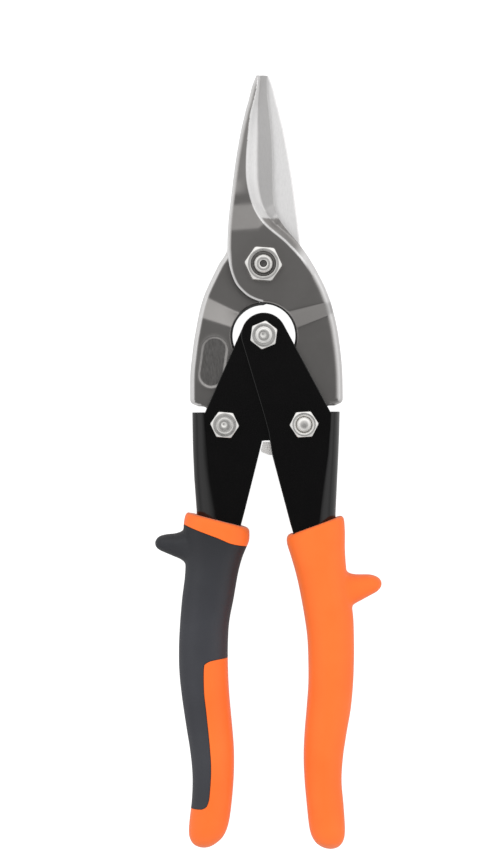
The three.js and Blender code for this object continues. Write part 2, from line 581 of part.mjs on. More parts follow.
// ---------------------------------------------------------------- latch
// flat finger on the right link bolt, in the layer of the left handle's upper flange
function latch() {
  const plan = [
    ...arc(RIGHT_LINK, 5.0, -118, 158, 20), [6.2, -53.4], [4.6, -56.4], [3.4, -57.25],
    [-0.45, -57.25], [-1.2, -60.1], [-0.9, -60.6], [2.2, -61.6], [6.0, -60.2], [9.6, -57.2],
  ];
  return prism(plan, INNER_LOW, INNER_HIGH).subtract(bore(RIGHT_LINK, LINK_HOLE));
}

// ---------------------------------------------------------------- assembly
const STEEL = { color: 0x8f8c88, roughness: 0.38, metalness: 0.95 };
const NICKEL = { color: 0xc9c6bf, roughness: 0.28, metalness: 1.0 };
const BLACK = { color: 0x0f0e0e, roughness: 0.35, metalness: 0.3 };
const DARK = { color: 0x3f4146, roughness: 0.75, metalness: 0.0 };
const ORANGE = { color: 0xfb7a38, roughness: 0.5, metalness: 0.0 };
const SPRING_WIRE = { color: 0x9a9a9a, roughness: 0.35, metalness: 0.9 };
const LATCH_STEEL = { color: 0xb8b8b6, roughness: 0.4, metalness: 0.9 };

function toMesh([name, body, finish]) {
  const { vertProperties, triVerts } = body.getMesh();
  const geometry = new THREE.BufferGeometry();
  geometry.setAttribute('position', new THREE.BufferAttribute(vertProperties, 3));
  geometry.setIndex(new THREE.BufferAttribute(triVerts, 1));
  geometry.computeVertexNormals();
  const mesh = new THREE.Mesh(geometry, new THREE.MeshStandardMaterial(finish));
  mesh.name = name;
  return mesh;
}

// one group for each body that moves as a whole
const part = new THREE.Group();
for (const pieces of [
  [
    ['front_blade', frontBlade(), STEEL],
    ['rear_blade', rearBlade(), STEEL],
    ['blade_pivot_bolt', mainBolt(), NICKEL],
    ['blade_pivot_nut', mainNut(), NICKEL],
    ['blade_pivot_washer', mainWasher(), NICKEL],
  ],
  [
    ['right_handle_frame', rightFrame(), BLACK],
    ['right_link_bolt', rightLinkBolt(), NICKEL],
    ['right_link_nut', rightLinkNut(), NICKEL],
    ['right_link_spacer', rightLinkSpacer(), NICKEL],
    ['handle_pivot_bolt', handlePivotBolt(), NICKEL],
    ['handle_pivot_nut', handlePivotNut(), NICKEL],
    ['handle_pivot_sleeve', handlePivotSleeve(), NICKEL],
    ['return_spring', returnSpring(), SPRING_WIRE],
    ['right_grip', rightGrip(), ORANGE],
  ],
  [
    ['left_handle_frame', leftFrame(), BLACK],
    ['left_link_bolt', leftLinkBolt(), NICKEL],
    ['left_link_nut', leftLinkNut(), NICKEL],
    ['left_grip_core', leftGripCore(), ORANGE],
    ['left_grip_cover', leftGripCover(), DARK],
  ],
  [['latch', latch(), LATCH_STEEL]],
]) {
  const group = new THREE.Group();
  group.add(...pieces.map(toMesh));
  group.position.set(...ORIGIN.map((v) => -v));
  part.add(group);
}

export default part;
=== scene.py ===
# Compound hand snips: two crossed blades, two sheet-steel handles with moulded grips, a
# return spring and a latch, lying flat. X is across, +Y points to the tips, +Z faces the
# camera. Everything is drawn in millimetres with the blade pivot at 0, 0 and the blades
# meeting at z = 0, then shifted and scaled into the shared frame, which is in metres.
import math

import bmesh
import bpy
import numpy as np
from mathutils import Matrix, Vector
from mathutils.geometry import delaunay_2d_cdt


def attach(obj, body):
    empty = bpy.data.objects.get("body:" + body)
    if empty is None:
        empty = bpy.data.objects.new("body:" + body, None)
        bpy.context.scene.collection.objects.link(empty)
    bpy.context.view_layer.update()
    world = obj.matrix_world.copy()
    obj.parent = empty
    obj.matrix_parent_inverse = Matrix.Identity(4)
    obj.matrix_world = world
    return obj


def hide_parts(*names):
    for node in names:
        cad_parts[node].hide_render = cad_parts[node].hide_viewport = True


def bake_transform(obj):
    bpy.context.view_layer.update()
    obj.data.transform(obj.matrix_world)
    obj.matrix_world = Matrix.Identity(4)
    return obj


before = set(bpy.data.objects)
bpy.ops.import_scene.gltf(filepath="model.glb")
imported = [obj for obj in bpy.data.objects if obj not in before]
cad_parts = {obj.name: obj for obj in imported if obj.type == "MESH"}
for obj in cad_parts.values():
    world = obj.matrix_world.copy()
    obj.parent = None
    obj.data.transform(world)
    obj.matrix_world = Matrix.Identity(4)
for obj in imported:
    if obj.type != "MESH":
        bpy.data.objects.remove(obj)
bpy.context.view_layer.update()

MM = 0.001
SCENE = bpy.context.scene

# ------------------------------------------------------------------ shared dimensions, mm
ORIGIN = np.array([1.075, -63.9, -9.5])   # the part's own origin in drawing coordinates
SHIFT = Matrix.Translation(Vector([-v * MM for v in ORIGIN]))
HANDLE_PIVOT = np.array([0.0, -22.9])
LEFT_LINK = np.array([-12.75, -51.7])     # where each handle holds a blade
RIGHT_LINK = np.array([12.75, -51.7])
BLADE_GAP = 0.05                          # blade's inner face above z = 0
BLADE_TOP = 5.0
TAIL_TOP = 2.5                            # top of the tail, which is cranked through z = 0
SHEET = 1.8
IN_LO = 2.6                               # half heights of the left, inner channel
IN_HI = IN_LO + SHEET
OUT_LO = 4.5                              # and of the right, outer one
OUT_HI = OUT_LO + SHEET
BOLT_HOLE = 2.6
EYE_R = 7.27                              # handle eyes about the handle pivot
WEB_Y = -47.6                             # blade end of both channels
GRIP_HALF = 9.5
COVER_WALL = 1.6
COVER_GAP = 0.16


# ------------------------------------------------------------------ plane geometry
def spline(points, step):
    """Curve through the points, resampled at about the given step."""
    p = np.array(points, float)
    t = np.linspace(0, 1, 17)[:-1, None]
    out = []
    for i in range(len(p) - 1):
        b, c = p[i], p[i + 1]
        a = p[i - 1] if i else 2 * b - c
        d = p[i + 2] if i + 2 < len(p) else 2 * c - b
        m0, m1 = (c - a) / 2, (d - b) / 2
        out.append((2 * t**3 - 3 * t**2 + 1) * b + (t**3 - 2 * t**2 + t) * m0
                   + (-2 * t**3 + 3 * t**2) * c + (t**3 - t**2) * m1)
    return resample(np.vstack(out + [p[-1:]]), step)


def resample(points, step):
    p = np.asarray(points, float)
    run = np.r_[0, np.cumsum(np.linalg.norm(np.diff(p, axis=0), axis=1))]
    count = max(1, int(round(run[-1] / step)))
    s = np.linspace(0, run[-1], count + 1)
    return np.stack([np.interp(s, run, p[:, j]) for j in range(p.shape[1])], 1)


def arc(centre, radius, start, end, step=0.45):
    """Arc between two angles in degrees."""
    n = max(3, int(abs(math.radians(end - start)) * radius / step))
    a = np.radians(np.linspace(start, end, n + 1))
    return np.stack([centre[0] + radius * np.cos(a), centre[1] + radius * np.sin(a)], 1)


def ease(x, a, b):
    """Smooth step from 0 at a to 1 at b."""
    t = np.clip((np.asarray(x, float) - a) / (b - a), 0, 1)
    return t * t * (3 - 2 * t)


def soft_clip(u, e=0.07):
    """Clamp to 0..1 with the corners rounded over e."""
    lo = np.where(u < -e, 0, np.where(u < e, (u + e) ** 2 / (4 * e), u))
    hi = np.where(u - 1 < -e, 0, np.where(u - 1 < e, (u - 1 + e) ** 2 / (4 * e), u - 1))
    return lo - hi


def inside(poly, points):
    x, y = points[:, 0], points[:, 1]
    hit = np.zeros(len(points), bool)
    px, py = poly[:, 0], poly[:, 1]
    for x0, y0, x1, y1 in zip(px, py, np.roll(px, -1), np.roll(py, -1)):
        if y0 != y1:
            hit ^= ((y0 > y) != (y1 > y)) & (x < (x1 - x0) * (y - y0) / (y1 - y0) + x0)
    return hit


def nearest(points, line):
    """Index of the closest point of a dense line, and the distance to it."""
    index = np.zeros(len(points), int)
    dist = np.zeros(len(points))
    for s in range(0, len(points), 2000):
        d = np.linalg.norm(points[s:s + 2000, None, :] - line[None, :, :], axis=2)
        index[s:s + 2000] = d.argmin(1)
        dist[s:s + 2000] = d.min(1)
    return index, dist


def unit_rows(v):
    return v / np.linalg.norm(v, axis=1)[:, None]


# ------------------------------------------------------------------ mesh helpers
def at(x, y, z):
    """Metres in the shared frame, from drawing millimetres."""
    return tuple((a - b) * MM for a, b in zip((x, y, z), ORIGIN))


def place(ob):
    """Move a finished mesh from the drawing into the shared frame."""
    ob.data.transform(SHIFT)
    ob.data.update()


def ship(ob, body, node):
    place(ob)
    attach(ob, body)
    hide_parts(node)


def mesh_object(name, verts, faces, sharp=32, mats=(), face_mat=None, weld=True, finish_and_highlight=None):
    mesh = bpy.data.meshes.new(name)
    mesh.from_pydata([tuple(v) for v in np.asarray(verts, float) * MM], [],
                     [tuple(int(i) for i in f) for f in faces])
    if face_mat is not None:
        mesh.polygons.foreach_set("material_index", np.asarray(face_mat, np.int32))
    if finish_and_highlight is not None:
        # one value per vertex: ground or forged finish, plus painted highlight lines
        layer = mesh.attributes.new("fin_and_highlight", "FLOAT", "POINT")
        layer.data.foreach_set("value", np.asarray(finish_and_highlight, np.float32))
    ob = bpy.data.objects.new(name, mesh)
    SCENE.collection.objects.link(ob)
    for mat in mats:
        mesh.materials.append(mat)
    tidy(ob, sharp, weld)
    return ob


def tidy(ob, sharp, weld=False):
    bm = bmesh.new()
    bm.from_mesh(ob.data)
    if weld:
        bmesh.ops.remove_doubles(bm, verts=bm.verts, dist=1e-6)
    bmesh.ops.dissolve_degenerate(bm, dist=1e-8, edges=bm.edges)
    bmesh.ops.recalc_face_normals(bm, faces=bm.faces)
    bm.to_mesh(ob.data)
    bm.free()
    ob.data.shade_smooth()
    ob.data.set_sharp_from_angle(angle=math.radians(sharp))
    ob.data.update()


def apply_mods(ob):
    graph = bpy.context.evaluated_depsgraph_get()
    graph.update()
    new = bpy.data.meshes.new_from_object(ob.evaluated_get(graph), preserve_all_data_layers=True,
                                          depsgraph=graph)
    old = ob.data
    ob.modifiers.clear()
    ob.data = new
    new.name = ob.name
    bpy.data.meshes.remove(old)


def crisp(ob):
    """A flat keeps its own normal beside a rounded edge."""
    mod = ob.modifiers.new("normals", "WEIGHTED_NORMAL")
    mod.mode = "FACE_AREA"
    mod.weight = 50
    mod.keep_sharp = True
    apply_mods(ob)


def boolean(ob, tool, operation="DIFFERENCE"):
    """Combine with a tool, which is used up."""
    mod = ob.modifiers.new("boolean", "BOOLEAN")
    mod.operation = operation
    mod.object = tool
    mod.solver = "MANIFOLD"
    apply_mods(ob)
    bpy.data.objects.remove(tool)


def loft(name, rings, sharp=32, mats=()):
    n = len(rings[0])
    faces = []
    for k in range(len(rings) - 1):
        for i in range(n):
            j = (i + 1) % n
            faces.append((k * n + i, k * n + j, (k + 1) * n + j, (k + 1) * n + i))
    faces.append(tuple(range(n))[::-1])
    faces.append(tuple(range((len(rings) - 1) * n, len(rings) * n)))
    return mesh_object(name, np.vstack(rings), faces, sharp, mats)


def prism(name, plan, z0, z1, mats=()):
    plan = np.asarray(plan, float)
    n = len(plan)
    verts = np.vstack([np.c_[plan, np.full(n, z0)], np.c_[plan, np.full(n, z1)]])
    faces = [tuple(range(n))[::-1], tuple(range(n, 2 * n))]
    faces += [(i, (i + 1) % n, n + (i + 1) % n, n + i) for i in range(n)]
    return mesh_object(name, verts, faces, mats=mats)


def polar(name, centre, rings, n, mats=(), ring_mat=None):
    """Solid of (radius, z) rings about a vertical axis, numbers or arrays over the angle."""
    th = np.arange(n) * 2 * math.pi / n
    verts, index = [], []
    for r, z in rings:
        r = np.broadcast_to(np.asarray(r, float), (n,))
        z = np.broadcast_to(np.asarray(z, float), (n,))
        if np.all(r == 0):
            index.append([len(verts)] * n)
            verts.append((centre[0], centre[1], z[0]))
        else:
            index.append(list(range(len(verts), len(verts) + n)))
            verts += [(centre[0] + r[i] * math.cos(th[i]), centre[1] + r[i] * math.sin(th[i]),
                       z[i]) for i in range(n)]
    faces, face_mat = [], []
    for k, (a, b) in enumerate(zip(index, index[1:])):
        for i in range(n):
            j = (i + 1) % n
            corners = tuple(dict.fromkeys((a[i], a[j], b[j], b[i])))
            if len(corners) > 2:
                faces.append(corners)
                face_mat.append(ring_mat[k] if ring_mat else 0)
    return mesh_object(name, verts, faces, mats=mats, face_mat=face_mat)


def drill(ob, centre):
    rings = [(0, -12), (BOLT_HOLE, -12), (BOLT_HOLE, 12), (0, 12)]
    boolean(ob, polar("drill", centre, rings, 48))


# ------------------------------------------------------------------ shader helper
class Shader:
    """A node tree, with short calls for the nodes used here."""

    def __init__(self, tree):
        self.tree = tree
        self.bsdf = tree.nodes.get("Principled BSDF")

    def fill(self, node, inputs):
        """Link or set inputs, by name or number."""
        for key, value in inputs.items():
            if isinstance(value, bpy.types.NodeSocket):
                self.tree.links.new(value, node.inputs[key])
            else:
                node.inputs[key].default_value = value

    def add(self, kind, inputs=None, **settings):
        node = self.tree.nodes.new("ShaderNode" + kind)
        for key, value in settings.items():
            setattr(node, key, value)
        self.fill(node, inputs or {})
        return node

    def surface(self, **inputs):
        """Set the main shader; an underscore stands for a space."""
        self.fill(self.bsdf, {key.replace("_", " "): v for key, v in inputs.items()})

    def coords(self, scale):
        scale = scale if isinstance(scale, tuple) else (scale,) * 3
        source = self.add("TexCoord").outputs["Object"]
        return self.add("Mapping", {"Scale": scale, "Vector": source}).outputs["Vector"]

    def noise(self, scale, detail):
        inputs = {"Vector": self.coords(scale), "Scale": 1.0, "Detail": detail, "Roughness": 0.55}
        return self.add("TexNoise", inputs).outputs["Fac"]

    def ramp(self, fac, *stops):
        node = self.add("ValToRGB", {"Fac": fac})
        elements = node.color_ramp.elements
        while len(elements) < len(stops):
            elements.new(0.5)
        for element, (position, color) in zip(elements, stops):
            element.position = position
            element.color = (*color, 1) if isinstance(color, tuple) else (color,) * 3 + (1,)
        return node.outputs["Color"]

    def remap(self, fac, low, high, start=0.3, end=0.7):
        """Map start..end to low..high."""
        inputs = {"Value": fac, "From Min": start, "From Max": end, "To Min": low, "To Max": high}
        return self.add("MapRange", inputs).outputs["Result"]

    def mix(self, fac, a, b):
        node = self.add("Mix", {"Factor": fac}, data_type="RGBA")
        colors = [i for i, s in enumerate(node.inputs) if s.type == "RGBA"]
        self.fill(node, dict(zip(colors, (a, b))))
        return [s for s in node.outputs if s.type == "RGBA"][0]

    def bump(self, height, strength, distance, under=None):
        node = self.add("Bump", {"Strength": strength, "Distance": distance, "Height": height})
        if under is not None:
            self.fill(node, {"Normal": under})
        self.surface(Normal=node.outputs["Normal"])
        return node.outputs["Normal"]


def new_material(name):
    mat = bpy.data.materials.new(name)
    mat.use_nodes = True
    return mat, Shader(mat.node_tree)


# ------------------------------------------------------------------ materials
def blade_steel():
    """Dark satin forged flats and bright ground faces, with painted highlight lines in the bright
    ground colour; a point attribute says which.
    """
    mat, sh = new_material("blade_steel_face")
    fin_and_highlight = sh.add("Attribute", attribute_name="fin_and_highlight").outputs["Fac"]
    fine = sh.noise((2600, 700, 2600), 2)
    big = sh.noise(120, 3)
    forged = sh.ramp(big, (0.3, (0.318, 0.306, 0.297)), (0.7, (0.350, 0.337, 0.328)))
    ground = sh.ramp(fine, (0.3, (0.86, 0.852, 0.85)), (0.7, (0.92, 0.912, 0.91)))
    etched = sh.ramp(fine, (0.3, (0.25, 0.242, 0.236)), (0.7, (0.36, 0.348, 0.34)))
    ground_and_highlight_mask = sh.remap(fin_and_highlight, 0.0, 1.0, start=0.0, end=1.0)
    is_etched = sh.remap(fin_and_highlight, 0.0, 1.0, start=0.0, end=-1.0)
    sh.surface(Base_Color=sh.mix(is_etched, sh.mix(ground_and_highlight_mask, forged, ground), etched),
               Metallic=sh.remap(fin_and_highlight, 1.0, 0.57, start=0.0, end=1.0),
               Roughness=sh.remap(fin_and_highlight, 0.30, 0.36, start=0.0, end=1.0))
    sh.bump(fine, strength=0.04, distance=0.00002)
    return mat


def steel(name, dark, light, rough, grain, bump, metallic=1.0, tint=(1.0, 0.98, 0.96)):
    mat, sh = new_material(name)
    fine = sh.noise(grain, 4)
    cloud = sh.add("Math", {0: sh.noise(60, 3), 1: 0.4}, operation="MULTIPLY").outputs[0]
    tone = sh.add("Math", {0: fine, 1: 0.6, 2: cloud}, operation="MULTIPLY_ADD").outputs[0]
    sh.surface(Base_Color=sh.ramp(tone, (0.3, tuple(dark * t for t in tint)),
                                  (0.7, tuple(light * t for t in tint))),
               Metallic=metallic,
               Roughness=sh.remap(tone, rough * 0.85, rough * 1.2))
    sh.bump(fine, bump, distance=0.00004)
    return mat


def black_paint():
    mat, sh = new_material("black_paint")
    cloud = sh.noise(220, 2)
    fine = sh.noise(2500, 2)
    sh.surface(Base_Color=sh.ramp(cloud, (0.3, (0.0009, 0.0008, 0.0009)),
                                  (0.7, (0.0014, 0.0012, 0.0013))),
               Roughness=sh.remap(fine, 0.12, 0.16),
               Specular_IOR_Level=0.58)
    sh.bump(cloud, strength=0.05, distance=0.00008)
    return mat


def plastic(name, dark, light, rough, grain, bump, sheen, specular, fade=None):
    """fade is (y, y, value at the first y): darker towards the first y, in metres."""
    mat, sh = new_material(name)
    big = sh.noise(45, 3)
    fine = sh.noise(grain, 2)
    cells = sh.add("TexVoronoi", {"Scale": 1.0, "Vector": sh.coords(grain * 0.8)})
    base = sh.ramp(big, (0.35, dark), (0.65, light))
    if fade is not None:
        start, end, value = fade
        y = sh.add("SeparateXYZ", {0: sh.coords(1)}).outputs["Y"]
        shade = sh.remap(y, value, 1.0, start, end)
        base = sh.add("HueSaturation", {"Color": base, "Value": shade}).outputs["Color"]
    sh.surface(Base_Color=base,
               Roughness=sh.remap(fine, rough * 0.9, min(1, rough * 1.15)),
               Specular_IOR_Level=specular,
               Sheen_Weight=sheen)
    under = sh.bump(fine, bump, distance=0.00006)
    sh.bump(cells.outputs["Distance"], bump * 0.7, distance=0.00005, under=under)
    return mat


BLADE_FACE = blade_steel()
# near-black steel for the cut-out, tail, low spine and hole walls: forged scale, deepened as
# painted shade on those walls
BLADE_DARK_WALL = steel("blade_steel_dark_wall", dark=0.05, light=0.08, rough=0.5, grain=300, bump=0.2)
NICKEL = steel("nickel_plate", dark=0.82, light=0.93, rough=0.29, grain=500, bump=0.10,
               metallic=0.95, tint=(1.0, 0.985, 0.955))
# darker nickel for the pivot bolt's end hole and the nut's bore and countersink: painted shade in
# those recesses
NICKEL_RECESS_SHADE = steel("nickel_recess_shade", dark=0.20, light=0.30, rough=0.5, grain=500, bump=0.10)
ZINC = steel("zinc_plate", dark=0.84, light=0.94, rough=0.42, grain=400, bump=0.12,
             metallic=0.8)
WIRE = steel("spring_wire", dark=0.50, light=0.62, rough=0.3, grain=400, bump=0.08)
BLACK = black_paint()
DARK = plastic("dark_overmould", dark=(0.0325, 0.0335, 0.0405), light=(0.040, 0.0415, 0.049),
               rough=0.52, grain=1800, bump=0.30, sheen=0.0, specular=0.38,
               fade=(-0.022, -0.052, 0.48))
ORANGE = plastic("orange_grip", dark=(0.90, 0.150, 0.018), light=(0.94, 0.170, 0.024),
                 rough=0.46, grain=1500, bump=0.20, sheen=0.14, specular=0.26)

# ------------------------------------------------------------------ blades
# Both are drawn as the front one: jaw spine at -X, arm at +X, z upwards from the inner face.
# Outline tables are x, y, running from the tip towards the tail.
FRONT_SPINE = [
    [-1.8, 61.3], [-2.32, 60.3], [-3.3, 57.72], [-3.97, 55.14], [-4.63, 52.55], [-5.4, 49.97],
    [-6.02, 47.38], [-6.65, 44.8], [-7.2, 42.22], [-7.68, 39.63], [-8.15, 37.05], [-8.6, 34.46],
    [-8.98, 31.88], [-9.33, 29.3], [-9.67, 26.71], [-10.0, 24.13], [-10.33, 21.54],
    [-10.66, 18.96], [-10.96, 16.38], [-11.2, 13.79], [-11.4, 11.21], [-11.58, 6.04],
    [-11.42, 3.0], [-11.0, -0.1], [-10.13, -3.33], [-8.86, -6.23], [-7.25, -8.25], [-5, -10.2],
    [-2.43, -11.5], [-0.49, -12.1]]
REAR_SPINE = [
    [-2.0, 61.2], [-2.53, 60.3], [-3.48, 57.72], [-4.11, 55.14], [-4.74, 52.55], [-5.37, 49.97],
    [-6, 47.38], [-6.6, 44.8], [-7.15, 42.22], [-7.6, 39.63], [-8.05, 37.05], [-8.51, 34.46],
    [-8.95, 31.88], [-9.7, 26.71], [-10.06, 24.13], [-10.37, 21.54], [-10.68, 18.96],
    [-10.98, 16.38], [-11.29, 13.79], [-11.6, 11.21], [-11.88, 8.62], [-12.05, 6.04],
    [-11.95, 2.5], [-11.3, -0.6], [-10.2, -3.4], [-8.86, -6.23], [-7.25, -8.25], [-5, -10.2],
    [-2.43, -11.7], [-0.49, -12.6]]
CUT_EDGE = [
    [1.89, 61.3], [1.6, 60.4], [1.62, 57.0], [1.75, 53.84], [2.35, 47.71], [2.9, 41.41],
    [3.17, 34.79], [3.26, 27.04], [3.45, 20.9], [4.2, 17.02], [5.8, 13.79], [8.2, 10.6],
    [10.9, 7.4]]
FRONT_ARM = [
    [13.81, 3.46], [15.45, 0.87], [16.95, -1.71], [18.32, -4.3], [19.6, -6.88], [20.65, -9.46],
    [21.58, -12.05], [22.38, -14.63], [23.06, -17.22], [23.62, -19.8], [24.06, -22.38],
    [24.42, -24.97], [24.76, -27.55], [25.03, -30.14], [25.23, -32.72], [25.37, -35.3],
    [25.45, -39.0], [25.48, -43.4]]
REAR_ARM = [
    [12.35, 3.46], [14.1, 0.87], [15.45, -1.71], [16.75, -4.3], [18.0, -6.88], [19.1, -9.46],
    [19.98, -12.05], [20.66, -14.63], [21.2, -17.22], [21.7, -19.8], [22.18, -22.38],
    [22.62, -24.97], [23.3, -30.14], [23.7, -33.5], [23.86, -36.0], [23.92, -39.5],
    [23.93, -43.4]]
# Outer side of the neck, x measured from the link; the rear one is waisted.
FRONT_NECK = [[8.3, -45.64], [7.3, -45.95], [6.75, -46.9], [6.45, -49.0], [6.4, -51.7]]
REAR_NECK = [[7.5, -45.64], [6.35, -45.85], [5.85, -46.5], [5.85, -48.4], [6.2, -50.2],
             [6.4, -51.7]]
RIDGE = [  # where the jaw's flat meets the bevel
    [-1.25, 62.6], [-1.36, 59.5], [-1.69, 56.75], [-2.88, 52.0], [-3.75, 48.0], [-4.5, 41.4],
    [-4.98, 35.8], [-5.12, 31.0], [-4.98, 27.6], [-4.5, 24.4], [-3.5, 20.4], [-1.93, 16.7],
    [0.5, 13.15], [3.3, 10.6], [6.6, 7.9], [9.6, 4.9], [12.2, 1.9], [14.2, -0.9], [15.9, -3.7]]
RIDGE_LINE = spline(RIDGE, 0.35)
RIDGE_DIR = unit_rows(np.gradient(RIDGE_LINE, axis=0))
RIDGE_SIDE = np.stack([-RIDGE_DIR[:, 1], RIDGE_DIR[:, 0]], 1)   # towards the bevel
# Against the ridge's y: width of the steep bevel, its foot's height, reach of the land below.
BEVEL_WIDTH = ([-3.7, 1.9, 4.9, 7.9, 10.6, 13.2, 16.7, 20, 24, 30, 35, 40, 45, 50, 55, 58],
               [2.2, 2.3, 2.4, 2.4, 2.5, 2.6, 2.7, 2.9, 3.2, 3.5, 3.4, 3.1, 2.6, 1.9, 1.0, 0.6])
BEVEL_FOOT = ([-3.7, 1.9, 4.9, 7.9, 10.6, 13.2, 16.7, 24, 40, 58],
              [3.75, 3.7, 3.2, 2.4, 1.75, 1.3, 1.05, 0.95, 0.9, 0.85])
LAND_REACH = ([-3.7, 4.9, 13.15, 16.7, 20.4, 24.4, 29, 35, 41.4, 48, 52, 58],
              [2.4, 3.0, 4.6, 5.3, 6.6, 7.7, 8.3, 8.2, 7.4, 6.0, 4.7, 3.0])
# Width and depth of the worked edge on top, then underneath, by part of the outline.
EDGE_WORK = {
    "tip": (0.5, 0.22, 0.2, 0.1), "edge0": (0.25, 0.08, 0.1, 0.03),
    "edge": (0.12, 0.03, 0.1, 0.02), "arm": (2.2, 1.0, 1.5, 0.72),
    "shoulder": (0.9, 0.4, 0.9, 0.4), "tail": (0.45, 0.2, 0.45, 0.2),
    "cut": (0.45, 0.16, 0.45, 0.16), "join": (0.5, 0.2, 0.4, 0.15),
    "spine": (1.25, 0.66, 0.45, 0.22)}
LOW_SPINE_WORK = (0.75, 0.42, 0.5, 0.25)
LINE_STEP = 0.45
PIVOT_HOLE = 3.1
ARM_CORNER_R = 1.7
TAIL_R = 6.4
TAIL_X = 5.3                                # inner side of the tail
# The tail is cranked by a ramp: its start and end lie this far along RAMP_DIR, each
# (distance, slope, where across the ramp the distance holds).
RAMP_DIR = np.array([0.292, -0.956])
RAMP_ACROSS = np.array([-RAMP_DIR[1], RAMP_DIR[0]])
FRONT_RAMP = ((17.06, 0.067, 4.6), (22.69, -0.084, 4.3))
REAR_RAMP = ((16.99, -0.169, 4.6), (22.1, -0.015, 4.3))
# Round-ended etched panel sunk in the rear arm's inner-face side.
PANEL_AT = np.array([16.44, -31.43])
PANEL_U = np.array([math.cos(math.radians(98)), math.sin(math.radians(98))])
PANEL_V = np.array([-PANEL_U[1], PANEL_U[0]])
PANEL_HALF, PANEL_R = 4.1, 4.3


def ramp_at(line, across):
    distance, slope, middle = line
    return distance + slope * (across - middle)


def step_y(x):
    """Line above which the top face drops towards the jaw."""
    return 11.0 + 0.07 * (x + 10) + 0.75 * np.maximum(0, x + 1.6)


def thin(fixed, layers):
    """Points of the (points, spacing) layers that don't crowd the fixed or earlier ones."""
    cells, chosen = {}, []

    def cell(p):
        return int(p[0] // 0.25), int(p[1] // 0.25)

    for p in fixed:
        cells.setdefault(cell(p), []).append(p)
    for points, spacing in layers:
        for p in points:
            cx, cy = cell(p)
            if not any((o[0] - p[0]) ** 2 + (o[1] - p[1]) ** 2 < spacing * spacing
                       for i in (-1, 0, 1) for j in (-1, 0, 1)
                       for o in cells.get((cx + i, cy + j), ())):
                cells.setdefault((cx, cy), []).append(p)
                chosen.append(p)
    return np.array(chosen)


